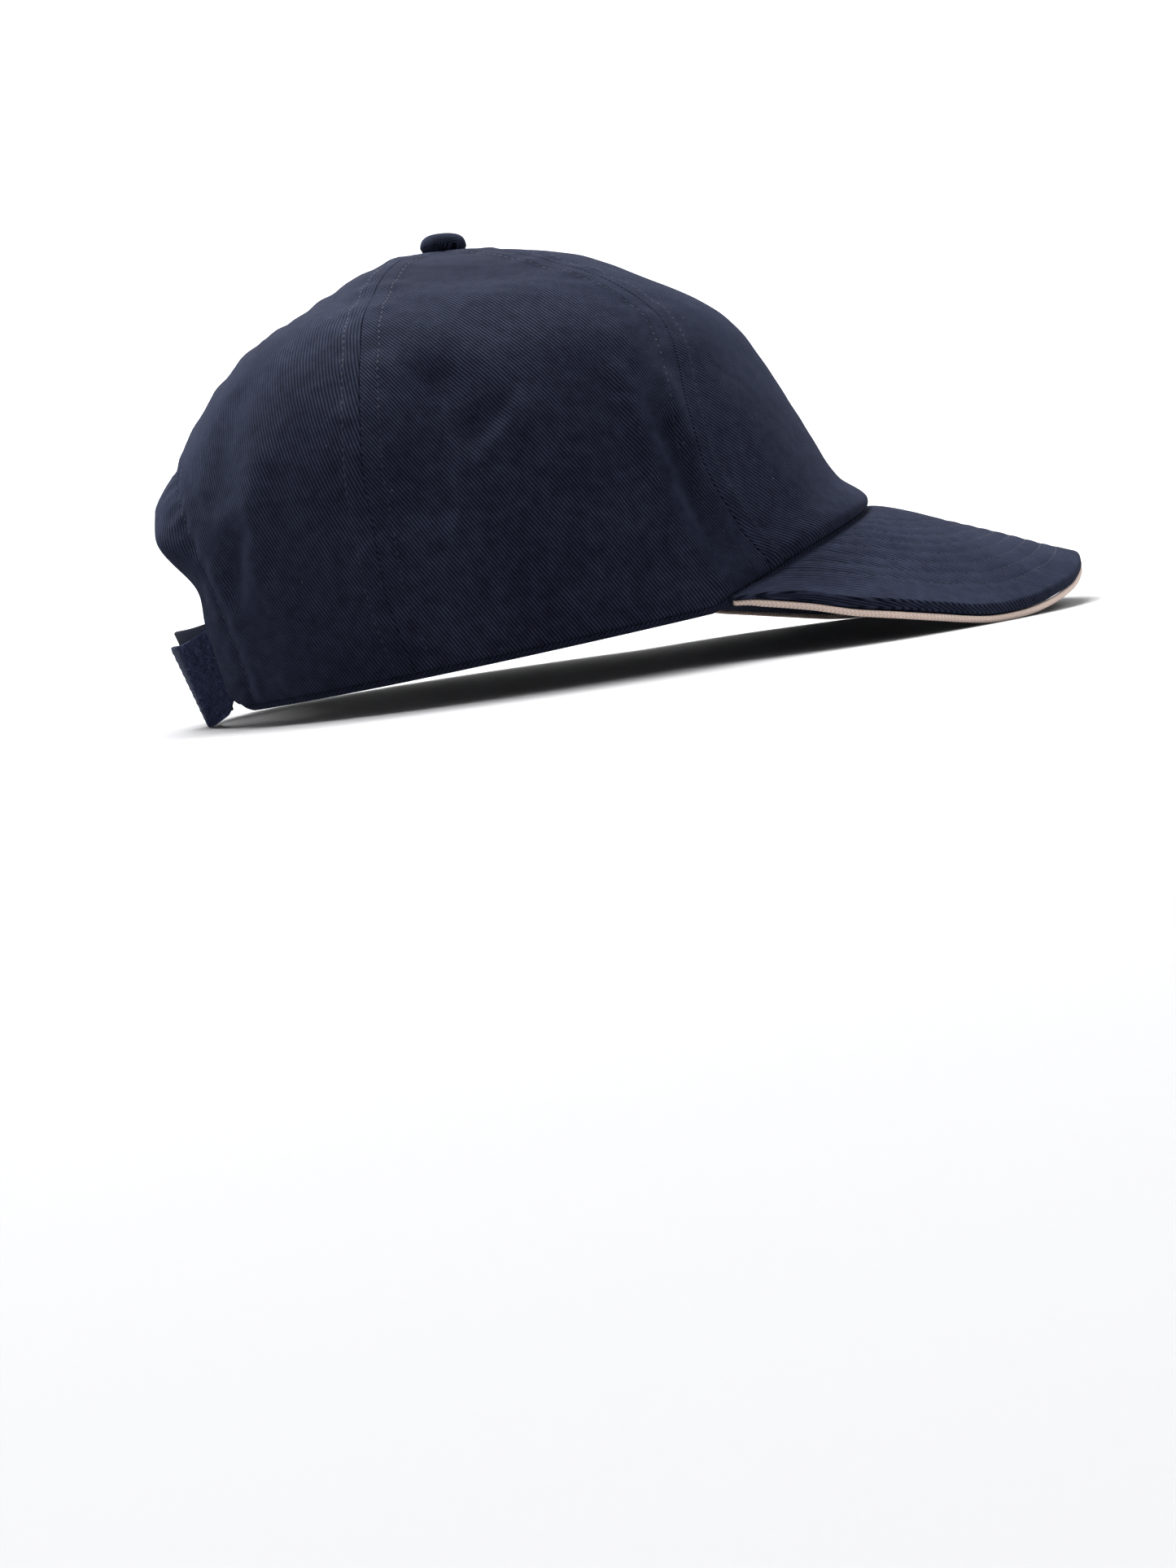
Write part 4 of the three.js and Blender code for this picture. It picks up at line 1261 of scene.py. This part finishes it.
def roll_line(count=900):
    """Along the rim, then up round the arch's corners on a quarter circle, thinner and further outwards."""
    reach = ARCH_HALF_WIDTH + ARCH_CORNER
    last = float(back_azimuth(reach))
    azimuth = np.linspace(-last, last, count)
    place = rim_point(azimuth) - outward_in_plan(azimuth) * ROLL_INSET
    height = rim_height(azimuth) - SWEATBAND_SHOWN + ROLL_RADIUS
    turn = np.linspace(0, 1, 30)[1:] * ROLL_CLIMB
    corner = back_azimuth(reach - ARCH_CORNER * np.sin(turn))
    inset = mix(ROLL_INSET, PANEL_CLOTH / 2, turn / turn[-1])[:, None]
    climb = rim_point(corner) - outward_in_plan(corner) * inset
    rise = ARCH_CORNER * (1 - np.cos(turn)) + mix(ROLL_RADIUS - SWEATBAND_SHOWN, 0.2, turn / turn[-1])
    climb = stack(climb[:, 0], climb[:, 1], rise)
    centres = np.concatenate([climb[::-1] * [1, -1, 1], stack(place[:, 0], place[:, 1], height), climb])
    aside = outward_in_plan(corner)
    outward = np.concatenate([(aside * [1, -1, 1])[::-1], outward_in_plan(azimuth), aside])
    thinner = mix(1, 0.6, turn / turn[-1])
    thin = np.concatenate([thinner[::-1], np.ones(count), thinner])
    return centres, outward, ROLL_RADIUS * thin


rim_roll = round_bar("rim_roll", *roll_line(), 14)
rim_roll.data.materials.append(twill_finish("roll_twill", 35, 0.8, 1.0, 0.35))
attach(rim_roll, "root")
print("sweatband", len(sweatband.data.polygons), "faces")

# %% [markdown]
# ## The back strap
# Two halves meet under the arch. The outer one comes from the wearer's right with its loop side out and a
# smooth folded end; the inner one passes under it. Both are bands that follow the rim, bow out and lean
# out towards the middle.

# %% Strap
CURL_HEIGHT = 5.5
CURL_SIDES = (0.74, 1.02)
FOLDED_END = 13.5
SEWN_END = ARCH_HALF_WIDTH + STRAP_TUCK
TAPE_DARK = (0.006, 0.0075, 0.015)
TAPE_PALE = (0.02, 0.0245, 0.042)
PILE_DARK = (0.007, 0.009, 0.023)
PILE_PALE = (0.042, 0.0505, 0.105)
BARE_DARK = (0.003, 0.0036, 0.0065)
BARE_PALE = (0.012, 0.0142, 0.024)


def strap_share(across):
    """The share of bow and lean: 0 near the arch's sides, 1 at the centre back."""
    return 1 - smooth_step(0, 0.9 * ARCH_HALF_WIDTH, np.abs(across))


def droop_share(across):
    """The share of droop, which lasts longer: 0 only where the strap is sewn in."""
    return 1 - smooth_step(0.25 * ARCH_HALF_WIDTH, SEWN_END, np.abs(across))


def strap_point(across, up, depth, middle):
    """A place on the strap: so far across, up from its middle line and in from its mean surface."""
    azimuth = np.where(across < 0, -1, 1) * back_azimuth(across)
    share = strap_share(across)
    sewn_in = PANEL_CLOTH + SEAM_GAP + STRAP_CLOTH / 2
    lean = up * np.tan(STRAP_LEAN * share)
    outward = STRAP_BOW * share - sewn_in + lean - depth
    place = rim_point(azimuth) + outward_in_plan(azimuth) * outward[..., None]
    return stack(place[..., 0], place[..., 1], middle + up)


def edge_curl(across, up):
    """Near the crown the strap's lower edge curls up, by height times (1/2 - up / width)^2."""
    near = smooth_step(*CURL_SIDES, np.abs(across) / ARCH_HALF_WIDTH)
    return up + CURL_HEIGHT * near * (0.5 - up / STRAP_WIDTH) ** 2


def right_middle(across):
    """The height of the outer strap's middle line."""
    return STRAP_SEAT - STRAP_DROOP * droop_share(across)


def left_middle(across):
    """The height of the inner strap's middle line."""
    return STRAP_SEAT - STRAP_SETTLE * np.where(across > 0, droop_share(across), 1)


def left_depth(across):
    """How far the inner strap lies under the outer one: a cloth and a gap where they overlap."""
    share = 1 - smooth_step(0.1 * ARCH_HALF_WIDTH, 0.8 * ARCH_HALF_WIDTH, across)
    return (STRAP_CLOTH + SEAM_GAP) * share


def make_strap(name, start, end, depth, middle, material, grid=(60, 150)):
    """A band from start to end across the back, its face outwards."""
    up = mix(-0.5, 0.5, crowded(grid[0], 0.7))[:, None] * STRAP_WIDTH
    across = mix(start, end, crowded(grid[1], 0.7))[None, :]
    across, up = np.broadcast_arrays(across, up)
    up = edge_curl(across, up)
    face = strap_point(across, up, depth(across) - STRAP_CLOTH / 2, middle(across))
    length = run_lengths(face[len(face) // 2])
    flat = np.stack(np.broadcast_arrays(length[None, :] - length[-1], -up), -1)
    strap = cloth_sheet(name, face, STRAP_CLOTH, flat, grid_normals(face), 0.6)
    strap.data.materials.append(material)
    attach(strap, "root")
    print(name, "runs", round(float(length[-1]), 1), "mm")
    return strap


def tape_finish():
    """Smooth woven tape: fine ribs across it, crossed by shallower ones along it."""
    finish = Finish("smooth_tape_weave")
    x, y = finish.flat()
    weave = (x / 0.55).wave() * 0.65 + (y / 0.8).wave() * 0.35
    fuzz = finish.noise(1800, 2, 0.6)
    colour = finish.blend(weave * 0.7 + fuzz * 0.3, TAPE_DARK, TAPE_PALE)
    finish.set(Base_Color=colour, Roughness=0.85, Normal=finish.bump(weave * 0.8 + fuzz * 0.2, 0.00008))
    finish.set(Sheen_Weight=0.02, Specular_IOR_Level=0.05, Specular_Tint=(0.4, 0.5, 1, 1))
    return finish.material


def pile_finish(bare_from=None):
    """Blue-navy yarn, paler where it catches the light; beyond a length along the strap, bare woven tape."""
    finish = Finish("loop_pile_cloth" if bare_from is None else "strap_cloth")
    tuft = finish.noise(900, 3, 0.65)
    patch = finish.noise(130, 2, 0.5)
    share = (tuft * 1.3 + patch * 0.5 - 0.45).clamped(0.1, 0.9)
    colour = finish.blend(share, PILE_DARK, PILE_PALE)
    height = tuft
    if bare_from is not None:
        x, y = finish.flat()
        bare = x > bare_from
        weave = (y / 0.7).wave()
        tape = finish.blend(weave * 0.6 + tuft * 0.4, BARE_DARK, BARE_PALE)
        colour = finish.blend(bare, colour, tape)
        height = tuft * (1 - bare) + weave * bare * 0.3
    finish.set(Base_Color=colour, Roughness=0.8, Normal=finish.bump(height, 0.0003))
    finish.set(Sheen_Weight=0.12, Sheen_Roughness=0.4, Sheen_Tint=(0.4, 0.5, 1, 1), Specular_IOR_Level=0.05)
    return finish.material


outer_cloth = pile_finish(-FOLDED_END)
outer_strap = make_strap("outer_strap", -SEWN_END, 0, lambda across: 0 * across, right_middle, outer_cloth)
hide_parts("strap_right")
inner_strap = make_strap(
    "inner_strap", SEWN_END, -STRAP_OVERLAP, left_depth, left_middle, tape_finish(), (60, 220)
)
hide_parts("strap_left")

# %% [markdown]
# ## Repeated small pieces
# Stitches and pile loops are all alike, so one small shape is copied to many places at once: its points
# are multiplied by a local frame of three directions at each place. The copies join into one mesh.

# %% Copies of a small shape
def copies(name, shape_points, shape_faces, places, forward, sideways, upward):
    """Every copy's points are place + x forward + y sideways + z upward, as one array."""
    frames = np.stack([forward, sideways, upward], 1)
    points = places[:, None, :] + np.einsum("kc,ncd->nkd", shape_points, frames)
    count = len(shape_points)
    shift = np.arange(len(places))[:, None, None] * count
    faces = (np.asarray(shape_faces)[None] + shift).reshape(-1, 4)
    return make_mesh(name, points.reshape(-1, 3), faces)


def capsule(length, width, height, sides=6):
    """A stitch: rings of growing and shrinking radius along x, closed by square ends folded to a point."""
    stations = np.array([-0.5, -0.42, -0.2, 0.2, 0.42, 0.5])
    radii = np.array([0.12, 0.62, 1.0, 1.0, 0.62, 0.12])
    sag = np.array([-0.5, -0.2, 0.1, 0.1, -0.2, -0.5])
    turn = np.arange(sides) / sides * 2 * math.pi
    x = stations[:, None] * length + 0 * turn
    y = radii[:, None] * np.cos(turn) * width / 2
    z = radii[:, None] * np.sin(turn) * height / 2 + sag[:, None] * height
    index = np.arange(len(stations) * sides).reshape(-1, sides)
    first, last = index[0], index[-1]
    ends = [first[[0, 1, 2, 3]], first[[0, 3, 4, 5]], last[[3, 2, 1, 0]], last[[5, 4, 3, 0]]]
    return stack(x, y, z).reshape(-1, 3), np.concatenate([tube_faces(index), ends])


STITCH_PITCH = 2.35
STITCH_SINK = 0.03
STITCH_AIM = 0.2
STITCH = capsule(1.7, 0.38, 0.28)


def read_along(lengths, values, at):
    """The values at some lengths along a path, by interpolation."""
    return np.stack([np.interp(at, lengths, values[:, i]) for i in range(3)], -1)


def stitch_rows(rows):
    """One capsule at each pitch along each row; a row is a path and the normals along it."""
    collected = [[], [], [], []]
    for path, normals in rows:
        lengths = run_lengths(path)
        at = np.arange(STITCH_PITCH / 2, lengths[-1], STITCH_PITCH)
        places = read_along(lengths, path, at)
        ahead = read_along(lengths, path, at + STITCH_AIM)
        forward = unit(ahead - read_along(lengths, path, at - STITCH_AIM))
        upward = unit(read_along(lengths, normals, at))
        sideways = unit(np.cross(upward, forward))
        for store, value in zip(collected, (places - upward * STITCH_SINK, forward, sideways, upward)):
            store.append(value)
    return [np.concatenate(values) for values in collected]


print("a stitch has", len(STITCH[0]), "points")

# %% [markdown]
# ## Stitching
# Two rows follow every crown seam, five millimetres to each side, and one follows the arch's hem. The
# peak has eight rows parallel to its edge. The thread is navy too, and shows by its shine and small shadow.

# %% Stitch paths
SEAM_STITCHES = (0.075, 0.985)
THREAD_DARK = (0.004, 0.005, 0.009)
THREAD_PALE = (0.0125, 0.015, 0.026)


def crown_path(azimuth, step):
    """A row on the crown and the normals along it."""
    return dressed_crown(azimuth, step), normals_of(smooth_crown, azimuth, step)


def seam_rows():
    """Both sides of each seam, a stitch line's distance away along the ring, kept off the hems."""
    rows = []
    for side in (-1, 1):
        for name in ("front", "rear", "middle_front", "middle_back"):
            first, last = SEAM_STITCHES
            if name == "middle_back":
                last = ARCH_TOP_STEP - HEM_LINE / MERIDIAN_SCALE
            step = np.linspace(first, last, 500)
            if name == "middle_front":
                seam, ways = 0 * step, (1,)
            elif name == "middle_back":
                seam, ways = math.pi + 0 * step, (-1,)
            else:
                seam, ways = np.radians(seam_angle[name](step)), (-1, 1)
            slope = np.gradient(seam, step) * ring_radius(seam, step) / MERIDIAN_SCALE
            offset = STITCH_LINE * np.sqrt(1 + slope**2) / ring_radius(seam, step)
            rows += [crown_path(side * (seam + way * offset), step) for way in ways]
    return rows


def hem_rows():
    """Along the arch, a hem's width outside its edge, on both sides."""
    azimuth, step = arch_edge(np.linspace(0.02, math.pi / 2 * 0.97, 300), HEM_LINE)
    return [crown_path(side * azimuth, step) for side in (-1, 1)]


def thread_finish():
    """Twisted thread, with a little more shine than the cloth."""
    finish = Finish("navy_thread")
    twist = finish.noise(3500, 2, 0.6)
    colour = finish.blend(twist, THREAD_DARK, THREAD_PALE)
    finish.set(Base_Color=colour, Roughness=0.6, Normal=finish.bump(twist, 0.00005))
    finish.set(Sheen_Weight=0.1, Specular_IOR_Level=0.15, Specular_Tint=(0.45, 0.55, 1, 1))
    return finish.material


THREAD = thread_finish()
crown_stitching = copies("crown_stitching", *STITCH, *stitch_rows(seam_rows() + hem_rows()))
crown_stitching.data.materials.append(THREAD)
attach(crown_stitching, "root")
print("crown stitches", len(crown_stitching.data.vertices) // len(STITCH[0]))

# %% Peak stitching
def peak_rows():
    """At each station across, the point where the row number is whole, as far as the row is on the peak."""
    across = np.linspace(-0.99, 0.99, 420)[:, None]
    out = np.linspace(0.03, 1, 170)[None, :]
    across, out = np.broadcast_arrays(across, out)
    surface = dressed_peak(across, out)
    number = row_number(*edge_gap(surface))
    rows = []
    for row in range(ROW_COUNT):
        index = np.clip(np.argmax(number < row, axis=1), 1, out.shape[1] - 1)
        line = np.arange(len(index))
        before, after = number[line, index - 1], number[line, index]
        share = np.clip((before - row) / np.maximum(before - after, 1e-6), 0, 1)[:, None]
        path = mix(surface[line, index - 1], surface[line, index], share)[number[:, 0] > row + 0.15]
        rows.append((path, np.tile([0.25, 0.0, 0.97], (len(path), 1))))
    return rows


peak_stitching = copies("peak_stitching", *STITCH, *stitch_rows(peak_rows()))
peak_stitching.data.materials.append(THREAD)
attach(peak_stitching, "root")
print("peak stitches", len(peak_stitching.data.vertices) // len(STITCH[0]))

# %% Strap stitching
END_ROWS = (-1.8, 1.4 - FOLDED_END)
END_ROW_INSET = 1.5


def strap_rows():
    """Two rows across the outer strap's bare end, one near its fold and one beside the pile."""
    up = np.linspace(-0.5, 0.5, 120) * (STRAP_WIDTH - 2 * END_ROW_INSET)
    rows = []
    for across in END_ROWS:
        along = np.full(up.shape, across)
        path = strap_point(along, up, -STRAP_CLOTH / 2 + 0 * along, right_middle(along))
        rows.append((path, np.tile([-1.0, 0.0, 0.2], (len(up), 1))))
    return rows


strap_stitching = copies("strap_stitching", *STITCH, *stitch_rows(strap_rows()))
strap_stitching.data.materials.append(THREAD)
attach(strap_stitching, "root")
print("strap stitches", len(strap_stitching.data.vertices) // len(STITCH[0]))

# %% [markdown]
# ## Loop pile
# The strap's soft side is a field of tiny yarn loops. Each is half a ring of thin yarn with its feet in
# the ground, turned and sized at random from one seed, and they stop short of the smooth folded end.

# %% Pile
YARN_THICKNESS = 0.17
LOOP_STRETCH = 1.3
LOOP_SIZES = (0.28, 0.5)
LOOP_LEAN = 0.45
PILE_INSET = 0.8


def yarn_loop(segments=5, sides=4):
    """A thin tube bent over half a circle, standing on the ground."""
    bend = np.linspace(-0.15, math.pi + 0.15, segments + 1)
    turn = np.arange(sides) / sides * 2 * math.pi
    reach = 1 + YARN_THICKNESS * np.cos(turn)
    x = reach * np.cos(bend)[:, None]
    y = YARN_THICKNESS * np.sin(turn) + 0 * bend[:, None]
    z = reach * np.sin(bend)[:, None] * LOOP_STRETCH
    index = np.arange((segments + 1) * sides).reshape(-1, sides)
    return stack(x, y, z).reshape(-1, 3), np.concatenate([tube_faces(index), [index[0][::-1]], [index[-1]]])


def pile_places(count=2600):
    """Random places on the outer strap's face, clear of its edges and its folded end."""
    draw = np.random.default_rng(8)
    across = draw.uniform(-ARCH_HALF_WIDTH + 1, -FOLDED_END, count)
    up = edge_curl(across, draw.uniform(-0.5, 0.5, count) * (STRAP_WIDTH - PILE_INSET))
    depth = -STRAP_CLOTH / 2 + 0 * across
    places = strap_point(across, up, depth, right_middle(across))
    ahead = strap_point(across + 0.1, up, depth, right_middle(across + 0.1))
    above = strap_point(across, up + 0.1, depth, right_middle(across))
    outward = unit(np.cross(above - places, ahead - places))
    outward *= np.sign(np.sum(outward * places, -1, keepdims=True))
    along = unit(ahead - places)
    side = np.cross(outward, along)
    spin = draw.uniform(0, math.pi, count)[:, None]
    size = draw.uniform(*LOOP_SIZES, count)[:, None]
    tilt = unit(outward + LOOP_LEAN * draw.normal(size=(count, 3)))
    forward = along * np.cos(spin) + side * np.sin(spin)
    sideways = unit(np.cross(tilt, forward))
    return places, forward * size, sideways * size, tilt * size


strap_pile = copies("strap_pile", *yarn_loop(), *pile_places())
strap_pile.data.materials.append(pile_finish())
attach(strap_pile, "root")
print("pile faces", len(strap_pile.data.polygons))

# %% [markdown]
# ## Camera, floor and light
# The photograph was taken level with the rim, from the wearer's right and a little behind. The cap rests
# on a floor here, so the camera keeps that direction but is raised above the floor.

# %% Camera
PHOTO_SIZE = (1445, 1927)
FOCAL_PIXELS = 2400.0
EYE_DISTANCE = 592.0
PHOTO_PITCH = math.radians(12.3)
PHOTO_YAW = math.radians(8)
EYE_FROM_ORIGIN = (18.38, -16.92)
EYE_RAISED = 26.0
FRAME_SHIFT = -113.5 / max(PHOTO_SIZE)


def photo_to_row(right, away, up):
    """A place in the photograph's own axes, from the cap's origin, as row metres."""
    x1 = right * math.cos(PHOTO_YAW) + away * math.sin(PHOTO_YAW)
    y = away * math.cos(PHOTO_YAW) - right * math.sin(PHOTO_YAW)
    x = x1 * math.cos(PHOTO_PITCH) + up * math.sin(PHOTO_PITCH)
    z = up * math.cos(PHOTO_PITCH) - x1 * math.sin(PHOTO_PITCH)
    return (tilted([x, y, z]) + OFFSET) * MM


def make_camera():
    """The photograph's camera, raised above the floor and turned to the point that it looked at."""
    origin = photo_to_row(0, 0, 0)
    eye = photo_to_row(EYE_FROM_ORIGIN[0], -EYE_DISTANCE, EYE_FROM_ORIGIN[1]) + [0, 0, EYE_RAISED * MM]
    aim = photo_to_row(EYE_FROM_ORIGIN[0], 0, EYE_FROM_ORIGIN[1])
    up = unit(photo_to_row(0, 0, 1) - origin)
    back = unit(eye - aim)
    right = unit(np.cross(up, back))
    above = np.cross(back, right)
    data = bpy.data.cameras.new("camera")
    data.lens = 36 * FOCAL_PIXELS / max(PHOTO_SIZE)
    data.shift_y = FRAME_SHIFT
    data.clip_start = 0.004
    camera = bpy.data.objects.new("camera", data)
    turn = Matrix(np.stack([right, above, back], 1).tolist()).to_4x4()
    camera.matrix_world = Matrix.Translation(Vector(eye.tolist())) @ turn
    bpy.context.scene.collection.objects.link(camera)
    bpy.context.scene.camera = camera
    return camera


camera = make_camera()
print("camera, m:", [round(c, 3) for c in camera.matrix_world.translation])

# %% [markdown]
# The floor runs back and curves up into a wall, as a paper sweep does in a studio, so no horizon shows.
# It is wide enough for every side to be looked at.

# %% Sweep
def make_sweep():
    """A large pale disc with a rim that curves up, closed all round the object."""
    bend = np.linspace(0.05, 1, 14) * math.pi / 2
    radii = np.concatenate([np.linspace(0.02, 1.2, 16), 1.2 + 0.8 * np.sin(bend), [2.0]])
    heights = np.concatenate([np.zeros(16), 0.8 - 0.8 * np.cos(bend), [2.2]])
    around = np.linspace(0, 2 * math.pi, 96, endpoint=False)
    rings = stack(radii[:, None] * np.cos(around), radii[:, None] * np.sin(around), heights[:, None])
    index = np.arange(rings.shape[0] * rings.shape[1]).reshape(rings.shape[:2])
    faces = tube_faces(index)[:, ::-1].tolist() + [index[0].tolist()]
    sweep = link_mesh("paper_sweep", rings.reshape(-1, 3), faces)
    finish = Finish("pale_paper")
    finish.set(Base_Color=(0.42, 0.42, 0.425, 1), Roughness=0.9, Specular_IOR_Level=0.1)
    sweep.data.materials.append(finish.material)


make_sweep()
print("sweep: 2 m in radius")

# %% [markdown]
# A large soft light above, a weak one in front and one that is turned to the paper give the even light of
# a studio. The room adds a little cool light from all round.

# %% Lights
def soft_box(name, place, aim, size, power):
    """A square area light that looks at a point."""
    data = bpy.data.lights.new(name, "AREA")
    data.shape, data.size, data.energy = "SQUARE", size, power
    light = bpy.data.objects.new(name, data)
    light.location = place
    light.rotation_euler = (Vector(aim) - Vector(place)).to_track_quat("-Z", "Y").to_euler()
    bpy.context.scene.collection.objects.link(light)


soft_box("top_light", (-0.3, 0.25, 1.3), (0, 0, 0.05), 1.0, 31)
soft_box("front_light", (0.9, -0.7, 1.3), (0, 0, 0.05), 0.8, 10)
soft_box("wall_light", (0, 0.7, 1.9), (0, 2.0, 0.5), 1.2, 120)

world = bpy.data.worlds.new("pale_room")
bpy.context.scene.world = world
world.use_nodes = True
world.node_tree.nodes["Background"].inputs["Color"].default_value = (0.9, 0.93, 1, 1)
world.node_tree.nodes["Background"].inputs["Strength"].default_value = 0.2
bpy.context.scene.view_settings.view_transform = "Standard"
print("lights:", [light.name for light in bpy.data.lights])
